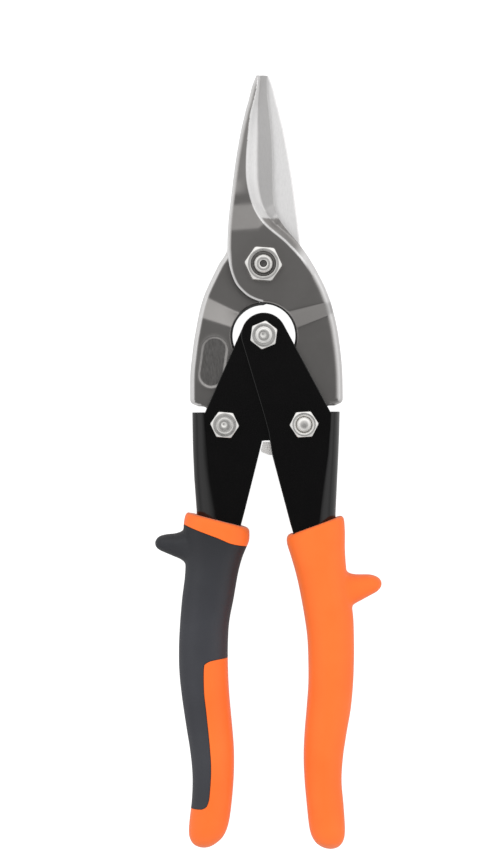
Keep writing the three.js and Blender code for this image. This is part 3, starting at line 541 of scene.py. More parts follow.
class Blade:
    """A triangulated plan with a top and a bottom height at every point."""

    def __init__(self, spine, arm, neck, cut_top, cut_bottom, link_hole, ramp, panel=False):
        self.cut_top, self.cut_bottom = cut_top, cut_bottom
        self.ramp, self.panel = ramp, panel
        self.holes = [(np.zeros(2), PIVOT_HOLE), (RIGHT_LINK, link_hole)]
        self.draw_outline(spine, arm, neck)
        self.size_edges()
        self.dense = resample(np.vstack([self.line, self.line[:1]]), 0.08)
        self.triangulate()
        self.measure()

    def draw_outline(self, spine, arm, neck):
        """Closed outline from the tip down the edge and arm, round the tail, up the spine."""
        side = spline(CUT_EDGE[1:] + arm, LINE_STEP)
        heel = int(np.argmin(np.linalg.norm(side - np.array(CUT_EDGE[-1]), axis=1)))
        arm_x, arm_y = arm[-1]
        corner = arc((arm_x - ARM_CORNER_R, arm_y), ARM_CORNER_R, 0, -72, 0.3)
        link_x, link_y = RIGHT_LINK
        neck = [[link_x + dx, y] for dx, y in neck]
        tail_end = [TAIL_X, HANDLE_PIVOT[1] - 12.5]
        self.cut_start = math.degrees(
            math.atan2(-math.sqrt(self.cut_top**2 - TAIL_X * TAIL_X), TAIL_X))
        cut_y = HANDLE_PIVOT[1] + math.sin(math.radians(self.cut_start)) * self.cut_top
        cut = arc(HANDLE_PIVOT, self.cut_top, self.cut_start, 90, 0.4)
        spine_up = spline(spine, LINE_STEP)[::-1]
        runs = [
            ("tip", resample([spine[0], [0.2, 61.42], CUT_EDGE[0]], 0.3)),
            ("edge0", resample(CUT_EDGE[:2], 0.3)),
            ("edge", side[:heel + 1]),
            ("arm", side[heel:]),
            ("arm", corner),
            ("shoulder", resample([corner[-1], [arm_x - 2.6, neck[0][1]], neck[0]], 0.4)),
            ("tail", spline(neck, 0.4)),
            ("tail", arc(RIGHT_LINK, TAIL_R, 0, -180)),
            ("tail", spline([[link_x - TAIL_R, link_y], [TAIL_X + 0.6, link_y + 3.2],
                             [TAIL_X, link_y + 5.2], tail_end], LINE_STEP)),
            ("tail", resample([tail_end, [TAIL_X, cut_y]], LINE_STEP)),
            ("cut", cut),
            ("join", resample([cut[-1], spine_up[0]], 0.4)),
            ("spine", spine_up)]
        line = np.vstack([p[:-1] for _, p in runs])
        tags = np.array([tag for tag, p in runs for _ in p[:-1]])
        keep = np.linalg.norm(line - np.roll(line, 1, 0), axis=1) > 0.05
        self.line, self.tags = line[keep], tags[keep]

    def size_edges(self):
        """Width and depth of the worked edge at each outline point."""
        tags, y = self.tags, self.line[:, 1]
        work = np.array([EDGE_WORK[t] for t in tags])
        for pick, f, goal in (
                ((tags == "spine") & (y < 4), ease(y, 4, -3), LOW_SPINE_WORK),
                ((tags == "edge") & (y < 12), ease(y, 12, 7.4), EDGE_WORK["arm"])):
            f = f[pick][:, None]
            work[pick] = work[pick] * (1 - f) + np.array(goal) * f
        same = (tags == np.roll(tags, 1)) & (tags == np.roll(tags, -1))
        for _ in range(3):
            smooth = (np.roll(work, 1, 0) + work * 2 + np.roll(work, -1, 0)) / 4
            work = np.where(same[:, None], smooth, work)
        self.work = work

    def inset_rings(self):
        """The outline set in by growing steps, for the worked edge."""
        along = unit_rows(np.roll(self.line, -1, 0) - np.roll(self.line, 1, 0))
        inward = np.stack([along[:, 1], -along[:, 0]], 1)
        rings = []
        for depth in (0.1, 0.22, 0.38, 0.58, 0.82, 1.05, 1.25, 1.5, 1.85, 2.2, 2.6):
            q = self.line + inward * depth
            _, gap = nearest(q, self.dense)
            q = q[(gap > depth - 0.03) & inside(self.line, q)]
            rings.append(q[::2] if depth > 1.6 else q)
        rings = np.vstack(rings)
        for centre, radius in self.holes:
            rings = rings[np.linalg.norm(rings - centre, axis=1) > radius + 0.1]
        return rings

    def creases(self):
        """Points along the lines where the faces bend."""
        lines = [RIDGE_LINE]
        lines += [RIDGE_LINE + RIDGE_SIDE * d for d in (-0.5, -0.18, 0.18, 4.2, 5.0, 5.8)]
        s = np.arange(-30, 30, 0.5)
        for ramp, offsets in zip(self.ramp, ((-0.5, -0.2, 0, 0.25, 0.7),
                                             (-0.7, -0.25, 0, 0.2, 0.5))):
            lines += [RAMP_DIR * (ramp_at(ramp, s) + o)[:, None] + RAMP_ACROSS * s[:, None]
                      for o in offsets]
        x = np.arange(-12, 3, 0.4)
        lines += [np.stack([x, step_y(x) + o], 1) for o in
                  (-0.15, 0.0, 0.15, 0.5, 1.2, 2.5, 4, 6, 7.6, 8.2, 9, 10, 11, 12.5, 14)]
        if self.panel:
            for o in (-1.0, -0.75, -0.55, -0.38, -0.22, -0.08, 0.08, 0.22, 0.38, 0.6):
                loop = np.vstack([arc((PANEL_HALF, 0), PANEL_R + o, -90, 90, 0.35),
                                  arc((-PANEL_HALF, 0), PANEL_R + o, 90, 270, 0.35)])
                loop = resample(np.vstack([loop, loop[:1]]), 0.35)[:-1]
                lines.append(PANEL_AT + loop[:, :1] * PANEL_U + loop[:, 1:] * PANEL_V)
        return np.vstack(lines)

    def clear(self, points, margin):
        """Points well inside the outline and off the holes."""
        points = points[inside(self.line, points)]
        ok = nearest(points, self.dense)[1] > margin
        for centre, radius in self.holes:
            ok &= np.linalg.norm(points - centre, axis=1) > radius + 0.3
        return points[ok]

    def triangulate(self):
        line = self.line
        width = np.interp(RIDGE_LINE[:, 1], *BEVEL_WIDTH)[:, None]
        facets = np.vstack([RIDGE_LINE + RIDGE_SIDE * width * part
                            for part in (1.0, 0.74, 0.88, 1.14, 0.5, 0.25)])
        gx, gy = np.meshgrid(np.arange(-14, 28, 0.85), np.arange(-60, 63, 0.75))
        gx = gx + (np.arange(gx.shape[0]) % 2)[:, None] * 0.42
        grid = np.stack([gx.ravel(), gy.ravel()], 1)
        rims = [arc(c, r + o, 0, 360, 0.5)[:-1] for c, r in self.holes for o in (0.15, 0.4)]
        layers = [(RIDGE_LINE[inside(line, RIDGE_LINE)], 0.07)]
        layers += [(rim[inside(line, rim)], 0.08) for rim in rims]
        layers += [(self.inset_rings(), 0.085), (self.clear(facets, 0.12), 0.11),
                   (self.clear(self.creases(), 0.12), 0.16), (self.clear(grid, 2.9), 0.24)]
        fixed_loops = [line] + [arc(c, r, 0, 360, 0.5)[:-1] for c, r in self.holes]
        fixed = np.vstack(fixed_loops)
        edges, loops, first = [], [], 0
        for loop in fixed_loops:
            m = len(loop)
            edges += [(first + i, first + (i + 1) % m) for i in range(m)]
            loops.append(range(first, first + m))
            first += m
        points = np.vstack([fixed, thin(fixed, layers)])
        verts, _, faces, sources, _, _ = delaunay_2d_cdt([Vector(p) for p in points], edges,
                                                         [], 0, 1e-6)
        self.plan = np.array([[p[0], p[1]] for p in verts])
        index = {s: i for i, merged in enumerate(sources) for s in merged}
        self.loops = [[index[i] for i in loop] for loop in loops]
        faces = np.array(faces)
        middle = self.plan[faces].mean(1)
        ok = inside(line, middle)
        for centre, radius in self.holes:
            ok &= np.linalg.norm(middle - centre, axis=1) > radius * 0.985
        self.faces = faces[ok]

    def measure(self):
        """Where each plan point lies against the outline, the ridge and the panel."""
        index, self.gap = nearest(self.plan, self.dense)
        self.near = nearest(self.dense, self.line)[0][index]
        self.gap[self.loops[0]] = 0.0
        ridge, self.ridge_gap = nearest(self.plan, RIDGE_LINE)
        self.ridge_at = RIDGE_LINE[ridge]
        self.side = np.einsum("ij,ij->i", self.plan - self.ridge_at, RIDGE_SIDE[ridge])
        self.on_ridge = ridge < len(RIDGE_LINE) - 1
        self.on_bevel = (self.side > 0) & self.on_ridge & (self.plan[:, 0] > -6)
        self.bevel = np.interp(self.ridge_at[:, 1], *BEVEL_WIDTH)
        self.fade = ease(self.ridge_at[:, 1], 6.5, -1.5)   # bevel runs out into the arm
        offset = self.plan - PANEL_AT
        self.panel_gap = np.hypot(np.maximum(np.abs(offset @ PANEL_U) - PANEL_HALF, 0),
                                  offset @ PANEL_V) - PANEL_R

    def ramp_part(self, points):
        along, across = points @ RAMP_DIR, points @ RAMP_ACROSS
        start, end = (ramp_at(ramp, across) for ramp in self.ramp)
        return soft_clip((along - start) / (end - start))

    def face_height(self, points):
        above = points[:, 1] - step_y(points[:, 0])
        z = BLADE_TOP - (BLADE_TOP - TAIL_TOP) * self.ramp_part(points)
        return z - (1.35 * soft_clip(above / 8.2, 0.06)
                    + 0.95 * np.clip((above - 12) / 38.0, 0, 1.2))

    def top(self):
        width, depth = self.work[self.near].T[:2]
        ridge_y, ridge_gap, fade = self.ridge_at[:, 1], self.ridge_gap, self.fade
        ridge_z = self.face_height(self.ridge_at)
        # the jaw's flat leans towards its spine
        above = self.plan[:, 1] - step_y(self.plan[:, 0])
        lean = ease(above, 11, 17) * (self.side < 0)
        face = self.face_height(self.plan) - lean * 0.13 * np.clip(ridge_gap, 0, 8)
        reach = np.interp(ridge_y, *LAND_REACH)
        land = 0.055 * np.clip(reach - ridge_gap, 0, 9) * ease(ridge_y, 12, 17)
        foot = np.minimum(np.interp(ridge_y, *BEVEL_FOOT) + land, ridge_z)
        hollow = foot + (ridge_z - foot) * np.clip(1 - ridge_gap / self.bevel, 0, 1) ** 1.3
        z = np.where(self.on_bevel, np.minimum(face, hollow), face)
        worked = face - depth * np.clip(1 - self.gap / width, 0, 1) ** 1.4
        z = np.where(self.on_bevel, z * (1 - fade) + np.minimum(worked, face) * fade,
                     np.minimum(z, worked))
        for centre, radius in self.holes:
            rim = np.linalg.norm(self.plan - centre, axis=1) - radius
            z = z - 0.22 * np.clip(1 - rim / 0.4, 0, 1) ** 2
        return z

    def bottom(self):
        width, depth = self.work[self.near].T[2:]
        z = (BLADE_GAP - (TAIL_TOP + BLADE_GAP) * self.ramp_part(self.plan)
             + depth * np.clip(1 - self.gap / width, 0, 1) ** 1.4)
        if self.panel:
            gap = self.panel_gap
            z = z + 0.26 * ease(gap, -0.1, -0.75) - 0.035 * np.exp(-((gap - 0.1) / 0.42) ** 2)
        return z

    def bottom_plan(self):
        """The plan with the round cut-out drafted to its bottom radius."""
        offset = self.plan - HANDLE_PIVOT
        dist = np.linalg.norm(offset, axis=1)
        out = offset / dist[:, None]
        angle = np.degrees(np.arctan2(out[:, 1], out[:, 0]))
        weight = (np.clip(1 - (dist - self.cut_top) / 2.6, 0, 1)
                  * ease(angle, self.cut_start - 2, self.cut_start + 14)
                  * (angle < 97) * (dist < self.cut_top + 2.6))
        return self.plan + out * ((self.cut_bottom - self.cut_top) * weight)[:, None]

    def top_finish_and_highlights(self):
        """1 ground bright, 0 forged; the same values also paint highlight lines on the arm
        chamfer, the cutting edge and the ridge.
        """
        tags, gap, y = self.tags, self.gap, self.plan[:, 1]
        width = self.work[self.near, 0]
        ridge_y, ridge_gap, bevel = self.ridge_at[:, 1], self.ridge_gap, self.on_bevel
        worked = np.isin(tags, ("tip", "arm", "spine", "shoulder"))[self.near]
        is_arm = np.isin(tags, ("arm", "shoulder"))[self.near]
        # the arm chamfer: ground, lighter towards the jaw, with painted highlight lines across
        # its middle and at its outer edge
        arm_fin_and_highlights = ((0.42 + 0.12 * ease(y, -15.0, -4.0)) * ease(gap, width + 0.1, width - 0.9)
                   + 0.20 * np.exp(-((gap - 1.05) / 0.25) ** 2) + 0.14 * ease(gap, 0.35, 0.1))
        edge_fin_and_highlights = np.where(is_arm, arm_fin_and_highlights, 0.70 * ease(gap, width + 0.15, 0.25))
        steep = np.clip(1 - ridge_gap / self.bevel, 0, 1)
        fin_and_highlight = np.where(worked & ~bevel, edge_fin_and_highlights, 0.0)
        for layer in (
                # the ground bevel, less bright on the flat land past its steep part, and its
                # run-out; then painted highlight lines along the cutting edge and along the ridge
                bevel * ease(y, 14.8, 15.3) * ease(ridge_gap, 0.0, 0.12)
                * (0.56 + 0.26 * ease(steep, 0.0, 0.25)),
                bevel * 0.55 * ease(ridge_y, 5.5, 1.5)
                * (1 - self.fade * ease(gap, width - 0.7, width + 0.3)),
                # painted highlight line along the cutting edge
                bevel * 0.80 * ease(gap, 0.24, 0.10) * ease(y, 17.5, 19.5),
                # painted highlight line along the ridge
                0.9 * (self.side > -0.3) * self.on_ridge * ease(ridge_gap, 0.62, 0.32)
                * (self.plan[:, 0] > -6) * ease(ridge_y, -3.4, 1.8)):
            fin_and_highlight = np.maximum(fin_and_highlight, layer)
        return fin_and_highlight

    def bottom_finish(self):
        """1 ground bright, 0 forged, -1 etched."""
        width, gap = self.work[self.near, 2], self.panel_gap
        parts = ("tip", "edge0", "edge", "arm", "spine", "shoulder")
        worked = np.isin(self.tags, parts)[self.near]
        fin_and_highlight = np.maximum(np.where(worked, 0.55 * ease(self.gap, width + 0.10, width - 0.35), 0.0),
                         ease(self.plan[:, 1], 3.5, 4.6))
        if self.panel:
            etched = np.where(gap < -0.25, -ease(gap, -0.25, -0.6), 0.08 * ease(gap, 0.6, 0.1))
            fin_and_highlight = np.where(gap < 0.6, etched, fin_and_highlight)
        return fin_and_highlight

    def is_dark_wall(self, i):
        """Whether the wall at an outline point is left near-black: forged scale, deepened as
        painted shade on the wall.
        """
        tag = self.tags[i]
        return tag in ("cut", "tail", "join") or (tag == "spine" and self.line[i, 1] < 2)

    def solid(self):
        """Vertices, faces, face materials and point finish, which holds painted highlight lines
        too.
        """
        n = len(self.plan)
        low = self.bottom()
        top = np.c_[self.plan, np.maximum(self.top(), low + 0.12)]
        bottom = np.c_[self.bottom_plan(), low]
        verts = [*top, *bottom]
        faces = [tuple(f) for f in self.faces] + [tuple(f[::-1] + n) for f in self.faces]
        face_mat = [0] * len(faces)
        for k, loop in enumerate(self.loops):
            m = len(loop)
            rows = [loop]
            for part in (1 / 3, 2 / 3):
                rows.append(range(len(verts), len(verts) + m))
                verts += [top[i] * (1 - part) + bottom[i] * part for i in loop]
            rows.append([i + n for i in loop])
            for upper, lower in zip(rows, rows[1:]):
                for i in range(m):
                    j = (i + 1) % m
                    faces.append((upper[i], upper[j], lower[j], lower[i]))
                    # hole walls and the dark stretches of the outline get the near-black steel:
                    # forged scale, deepened as painted shade
                    face_mat.append(1 if k > 0 or self.is_dark_wall(i) else 0)
        finish_and_highlight = np.zeros(len(verts))
        finish_and_highlight[:n] = self.top_finish_and_highlights()
        finish_and_highlight[n:2 * n] = self.bottom_finish()
        return np.array(verts), faces, face_mat, finish_and_highlight


def build_blade(body, blade, flip=False):
    verts, faces, face_mat, finish_and_highlight = blade.solid()
    if flip:
        verts[:, 0] *= -1
        verts[:, 2] *= -1
    ob = mesh_object(body + "_body", verts, faces, 30, (BLADE_FACE, BLADE_DARK_WALL), face_mat,
                     weld=False, finish_and_highlight=finish_and_highlight)
    ship(ob, body, body)


build_blade("front_blade", Blade(FRONT_SPINE, FRONT_ARM, FRONT_NECK, cut_top=10.7,
                                 cut_bottom=10.3, link_hole=2.6, ramp=FRONT_RAMP))
build_blade("rear_blade", Blade(REAR_SPINE, REAR_ARM, REAR_NECK, cut_top=10.1, cut_bottom=10.65,
                                link_hole=2.85, ramp=REAR_RAMP, panel=True), flip=True)

# ------------------------------------------------------------------ handle frames
# Channel stations: y, x of the rounded outer wall, x of the open edge, width of the rounding.
LEFT_CHANNEL = [
    [WEB_Y, -23.3, 1.0, 4.2], [-52.0, -23.25, 0.6, 4.3], [-56.85, -23.21, 0.2, 4.4],
    [-57.0, -23.2, -0.74, 4.4], [-61.14, -23.1, -1.76, 4.6], [-68.9, -22.8, -3.74, 5.4],
    [-79.2, -22.1, -6.39, 6.6], [-84.1, -21.9, -7.71, 7.0], [-97, -22.3, -11.2, 6.4],
    [-108, -23.6, -13.4, 5.6], [-120, -24.8, -15.2, 5.0], [-133, -24.5, -15.2, 5.0],
    [-145, -23.2, -14.6, 5.0], [-157, -21.5, -13.7, 5.0], [-167, -21.0, -14.0, 5.0],
    [-177.8, -21.8, -15.0, 5.0]]
RIGHT_CHANNEL = [
    [WEB_Y, 24.5, -0.37, 3.2], [-54.36, 24.3, 1.42, 3.4], [-61.14, 24.0, 2.44, 3.7],
    [-69.5, 23.55, 4.6, 4.6], [-79.9, 23.0, 7.28, 5.6], [-84.4, 22.85, 8.44, 6.0],
    [-97, 22.9, 12.2, 5.6], [-108, 24.7, 14.7, 5.2], [-120, 25.4, 16.8, 5.0],
    [-133, 25.3, 17.0, 5.0], [-145, 24.0, 16.4, 5.0], [-157, 22.1, 15.5, 4.6],
    [-167, 21.2, 15.5, 4.4], [-177.8, 21.8, 16.3, 4.4]]
# Plans of the flat plates that carry the eyes.
LEFT_PLATE = np.vstack([[[-19.1, WEB_Y], [-19.1, -52.5], [-2.0, -52.5], [-2.0, -56.8],
                         [3.0, -56.85], [3.4, -50], [7.08, -24.5]],
                        arc(HANDLE_PIVOT, EYE_R, -13, 155.8, 0.5)])
RIGHT_PLATE = np.vstack([arc(HANDLE_PIVOT, EYE_R, 27.8, 194.8, 0.5),
                         [[-0.37, WEB_Y], [0.9, -52.5], [21.26, -52.5], [21.26, WEB_Y]]])
BLADE_SLOT = [[-19.6, -50.5], [21.7, -50.5], [21.7, -10], [-19.6, -10]]


def channel_ring(station, side, half, quarter, grow=0, inset=0):
    """One section: a rounded outer wall closed at the open edge."""
    y, outer_x, open_x, width = station
    a = np.pi / 2 - np.pi * np.arange(2 * quarter + 1) / (2 * quarter)
    wall = np.c_[outer_x - side * width + side * (width + grow) * np.cos(a),
                 np.full(len(a), y), half * np.sin(a)]
    edge_x = open_x - side * inset
    return np.vstack([[edge_x, y, half], wall, [edge_x, y, -half]])


def clean_sheet(ob, holes, half):
    """Clear the cuts' slivers and roll the edges between the outer flats and the walls."""
    bm = bmesh.new()
    bm.from_mesh(ob.data)
    bmesh.ops.remove_doubles(bm, verts=bm.verts, dist=1.2e-4)
    bmesh.ops.dissolve_degenerate(bm, dist=2e-5, edges=bm.edges)
    bmesh.ops.dissolve_limit(bm, angle_limit=math.radians(0.6), verts=bm.verts,
                             edges=bm.edges, delimit={"NORMAL"})
    rolled = []
    for edge in bm.edges:
        if len(edge.link_faces) != 2 or edge.calc_length() < 2e-4:
            continue
        z0, z1 = (v.co.z / MM for v in edge.verts)
        flat = abs(abs(z0) - half) <= 0.01 and abs(z0 - z1) <= 0.01
        if not flat or edge.calc_face_angle(0) < math.radians(60):
            continue
        x, y = [(edge.verts[0].co[k] + edge.verts[1].co[k]) / 2 / MM for k in (0, 1)]
        if not any(math.hypot(x - c[0], y - c[1]) < BOLT_HOLE + 0.3 for c in holes):
            rolled.append(edge)
    bmesh.ops.bevel(bm, geom=rolled, offset=0.24 * MM, segments=3, profile=0.5,
                    affect="EDGES", clamp_overlap=False, loop_slide=True)
    bmesh.ops.remove_doubles(bm, verts=bm.verts, dist=1e-6)
    bm.to_mesh(ob.data)
    bm.free()
    tidy(ob, 35)


def handle_frame(body, channel, lo, hi, side, plate, link):
    node = body + "_frame"
    hollow = [channel_ring(row, side, lo, 14, grow=-SHEET, inset=3) for row in channel]
    first, last = hollow[0].copy(), hollow[-1].copy()
    first[:, 1] += 2
    last[:, 1] -= 2
    inner = loft("hollow", [first] + hollow + [last])
    ob = loft(node + "_sheet", [channel_ring(row, side, hi, 14) for row in channel],
              mats=(BLACK,))
    boolean(ob, prism("plate", plate, -hi, hi), "UNION")
    boolean(ob, inner)
    boolean(ob, prism("slot", BLADE_SLOT, -lo, lo))
    holes = (HANDLE_PIVOT, link)
    for centre in holes:
        drill(ob, centre)
    clean_sheet(ob, holes, hi)
    crisp(ob)
    ship(ob, body, node)


handle_frame("left_handle", LEFT_CHANNEL, IN_LO, IN_HI, -1, LEFT_PLATE, LEFT_LINK)
handle_frame("right_handle", RIGHT_CHANNEL, OUT_LO, OUT_HI, 1, RIGHT_PLATE, RIGHT_LINK)

# ------------------------------------------------------------------ fasteners
# All are rings of (radius, z).
ROUND = 144
ANGLES = np.arange(ROUND) * 2 * math.pi / ROUND
BIG_HEX, SMALL_HEX = 10.6, 8.15           # across flats
PIVOT_R, BOLT_R, BOLT_BORE = 3.0, 2.5, 2.58
HEAD_SEAT = 6.36                          # seat on the outer channel, with a small gap
# Head faces: radius, height over the head's top.
HEAD_FACES = {
    "boss": [(0, 0.28), (0.45, 0.30), (0.8, 0.42), (1.1, 0.46), (1.75, 0.46), (2.1, 0.38),
             (2.35, 0.18), (2.5, 0.03), (2.7, -0.03), (2.95, 0)],
    "flat": [(0, -0.22), (0.35, -0.2), (0.7, -0.08), (0.85, -0.03), (1.0, 0), (2.2, 0),
             (2.35, -0.06), (2.5, -0.06), (2.65, 0), (3.0, 0)],
    "plain": [(0, 0), (1.2, 0), (2.4, 0)]}


def hex_radius(flats, turn):
    a = np.mod(ANGLES - math.radians(turn), math.pi / 3) - math.pi / 6
    r = flats / 2 / np.cos(a)
    corner = flats / math.sqrt(3)
    return np.minimum(r, corner * 0.985 - 0.25 * np.clip(r - corner * 0.955, 0, 1))


def hex_rings(flats, turn, face_z, seat_z):
    """Rings from the outer face over its chamfer and down the flats to the seat."""
    hexagon = hex_radius(flats, turn)
    flat_r = flats / 2 - 0.25
    up = 1 if face_z > seat_z else -1

    def chamfer(r):
        return face_z - up * np.maximum(0, r - flat_r) * 0.5

    out = [(flat_r - 0.12, face_z), (np.full(ROUND, flat_r), face_z - up * 0.02)]
    for part in (0.3, 0.6, 0.85):
        r = flat_r + (hexagon - 0.1 - flat_r) * part
        out.append((r, chamfer(r) - up * 0.02))
    out += [(hexagon - 0.08, chamfer(hexagon - 0.08) - up * 0.03),
            (hexagon - 0.02, chamfer(hexagon) - up * 0.07),
            (hexagon, chamfer(hexagon) - up * 0.17),
            (hexagon, seat_z + up * 0.3),
            (hexagon - 0.03, seat_z + up * 0.1),
            (hexagon - 0.16, np.full(ROUND, seat_z))]
    return out


def fastener(node, body, centre, rings, n=ROUND, mat=NICKEL, shaded_bands=0):
    """A turned part; its first few bands may take the darker nickel, painted shade in a recess.
    """
    mats, ring_mat = (mat,), None
    if shaded_bands:
        mats = (mat, NICKEL_RECESS_SHADE)
        ring_mat = [1] * shaded_bands + [0] * (len(rings) - 1 - shaded_bands)
    ship(polar(node + "_body", centre, rings, n, mats, ring_mat), body, node)


# The pivot bolt comes from below; its end stands in the nut's countersink.
# its first four bands, the hole in its end, take the darker nickel as painted shade
fastener("blade_pivot_bolt", "blade_pivot", (0, 0), [
    (0, 8.15), (0.55, 8.2), (1.0, 8.45), (1.08, 8.8), (1.1, 9.9), (1.2, 10.08), (1.36, 10.17),
    (1.6, 10.2), (2.2, 10.2), (2.42, 10.15), (2.6, 10.0), (2.85, 9.7), (2.97, 9.5),
    (PIVOT_R, 9.3), (PIVOT_R, -6.2), (PIVOT_R + 0.05, -6.3),
    *hex_rings(BIG_HEX, 0, -9.3, -6.3)[::-1],
    (3.2, -9.3), (2.9, -9.22), (2.7, -9.05), (1.2, -9.02), (0, -9.02)], shaded_bands=4)
# its first five bands, the bore and countersink, take the darker nickel as painted shade
fastener("blade_pivot_nut", "blade_pivot", (0, 0), [
    (3.08, 5.1), (3.08, 8.35), (3.2, 8.5), (3.75, 8.72), (3.95, 8.95), (4.05, 9.25),
    (4.15, 9.37), (4.3, 9.4), *hex_rings(BIG_HEX, -5, 9.4, 5.06), (3.3, 5.06), (3.08, 5.1)],
    shaded_bands=5)
fastener("blade_pivot_washer", "blade_pivot", (0, 0), [
    (3.1, -5.15), (3.2, -5.06), (6.2, -5.06), (6.35, -5.12), (6.4, -5.25), (6.4, -6.05),
    (6.35, -6.18), (6.2, -6.25), (3.2, -6.25), (3.1, -6.15), (3.1, -5.15)])


def bolt(node, body, centre, seat, head, end, turn, face, up=1):
    """Bolt with its head above (up 1) or below (-1); heights count towards the head."""
    top = up * (seat + head)
    rings = [(r, top + up * z) for r, z in HEAD_FACES[face]]
    rings += hex_rings(SMALL_HEX, turn, top, up * seat)
    rings += [(BOLT_R + 0.12, up * seat), (BOLT_R, up * (seat - 0.12))]
    rings += [(BOLT_R - cut, up * (-end + z)) for cut, z in
              ((0, 1.2), (0.03, 0.95), (0.25, 0.55), (0.75, 0.2), (1.4, 0.04))]
    rings.append((0, up * -end))
    ob = polar(node + "_body", centre, rings, ROUND, mats=(NICKEL,))
    if face != "plain":          # the forging dimple sits off centre
        for v in ob.data.vertices:
            r = math.hypot(v.co.x / MM - centre[0], v.co.y / MM - centre[1])
            if r < 1.5 and abs(v.co.z / MM - top) < 0.6:
                k = (1 - r / 1.5) * 0.55
                v.co.x -= k * MM * 0.8
                v.co.y += k * MM * 0.35
    ship(ob, body, node)


def nut(node, body, centre, seat, face, turn):
    up = 1 if face > 0 else -1
    fastener(node, body, centre, [
        (BOLT_BORE, seat + up * 0.2), (BOLT_BORE, face - up * 0.55), (2.66, face - up * 0.4),
        (2.95, face - up * 0.08), (3.1, face), *hex_rings(SMALL_HEX, turn, face, seat),
        (2.8, seat), (BOLT_BORE, seat + up * 0.2)])


bolt("handle_pivot_bolt", "right_handle", HANDLE_PIVOT, seat=HEAD_SEAT, head=2.9, end=9.42,
     turn=22, face="boss")
nut("handle_pivot_nut", "right_handle", HANDLE_PIVOT, seat=-HEAD_SEAT, face=-9.0, turn=10)
bolt("left_link_bolt", "left_handle", LEFT_LINK, seat=4.46, head=3.0, end=8.4, turn=-5,
     face="flat")
nut("left_link_nut", "left_handle", LEFT_LINK, seat=-4.46, face=-7.6, turn=12)
bolt("right_link_bolt", "right_handle", RIGHT_LINK, seat=HEAD_SEAT, head=2.9, end=10.0,
     turn=8, face="plain", up=-1)
nut("right_link_nut", "right_handle", RIGHT_LINK, seat=HEAD_SEAT, face=9.5, turn=3)
fastener("handle_pivot_sleeve", "right_handle", HANDLE_PIVOT, [
    (BOLT_BORE, -2.4), (2.7, -2.5), (3.45, -2.5), (3.6, -2.38), (3.6, 2.38), (3.45, 2.5),
    (2.7, 2.5), (BOLT_BORE, 2.4), (BOLT_BORE, -2.4)], n=96, mat=ZINC)
fastener("right_link_spacer", "right_handle", RIGHT_LINK, [
    (BOLT_BORE, -IN_LO - 0.1), (2.7, -IN_LO), (4.85, -IN_LO), (5.0, -IN_LO - 0.12),
    (5.0, -IN_HI + 0.12), (4.85, -IN_HI), (2.7, -IN_HI), (BOLT_BORE, -IN_HI + 0.1),
    (BOLT_BORE, -IN_LO - 0.1)], n=96, mat=ZINC)

# ------------------------------------------------------------------ return spring
WIRE_R = 0.665
COIL_R = 4.6
COIL_TURNS = 2.5
COIL_HALF = 1.83                  # pitch 1.46, so the turns stay clear of each other
SPRING_LEG = [[4.3, -47.2], [4.3, -40], [4.35, -33], [4.52, -27.5]]   # right leg, from its end


def build_spring():
    path = [[x, y, -COIL_HALF] for x, y in SPRING_LEG]
    for k in range(41):
        a = COIL_TURNS * 2 * math.pi * k / 40
        path.append([HANDLE_PIVOT[0] + COIL_R * math.cos(a),
                     HANDLE_PIVOT[1] + COIL_R * math.sin(a),
                     -COIL_HALF + 2 * COIL_HALF * k / 40])
    path += [[-x, y, COIL_HALF] for x, y in SPRING_LEG[::-1]]
    path = spline(path, 0.35)
    along = unit_rows(np.gradient(path, axis=0))
    a = np.arange(14) * 2 * math.pi / 14
    up = np.cross(along[0], [0, 0, 1.0])
    up /= np.linalg.norm(up)
    rings = []
    for point, ahead in zip(path, along):
        up = up - ahead * up.dot(ahead)
        up /= np.linalg.norm(up)
        across = np.cross(ahead, up)
        rings.append(point + WIRE_R * (np.cos(a)[:, None] * up + np.sin(a)[:, None] * across))
    start = path[0] - along[0] * WIRE_R * 0.25 + (rings[0] - path[0]) * 0.75
    end = path[-1] + along[-1] * WIRE_R * 0.25 + (rings[-1] - path[-1]) * 0.75
    spring = loft("return_spring_wire", [start] + rings + [end], 40, (WIRE,))
    place(spring)
    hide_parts("return_spring")
    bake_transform(spring)


build_spring()


# ------------------------------------------------------------------ latch
def build_latch():
    plan = np.vstack([
        arc(RIGHT_LINK, 5.0, -118, 158, 0.4),
        spline([[6.9, -52.2], [6.1, -53.6], [4.8, -56.2], [3.4, -57.25]], 0.5),
        [[-0.45, -57.25], [-1.15, -59.9]],
        spline([[-1.0, -60.4], [0.3, -61.0], [2.2, -61.5], [6.0, -60.2], [9.6, -57.2]], 0.5)])
    latch = prism("latch_plate", plan, IN_LO, IN_HI, (ZINC,))
    drill(latch, RIGHT_LINK)
    for k in range(5):        # pressed thumb serrations
        y = -57.75 - k * 0.72
        groove = [[-3, y + 0.16], [4.2, y + 0.16], [4.2, y - 0.16], [-3, y - 0.16]]
        boolean(latch, prism("serration", groove, IN_HI - 0.22, IN_HI + 1))
    bm = bmesh.new()
    bm.from_mesh(latch.data)
    bmesh.ops.dissolve_limit(bm, angle_limit=math.radians(0.6), verts=bm.verts, edges=bm.edges)
    bm.to_mesh(latch.data)
    bm.free()
    bevel = latch.modifiers.new("bevel", "BEVEL")
    bevel.width = 0.1 * MM
    bevel.segments = 2
    bevel.limit_method = "ANGLE"
    bevel.angle_limit = math.radians(40)
    apply_mods(latch)
    tidy(latch, 35)
    crisp(latch)
    ship(latch, "latch", "latch")


build_latch()

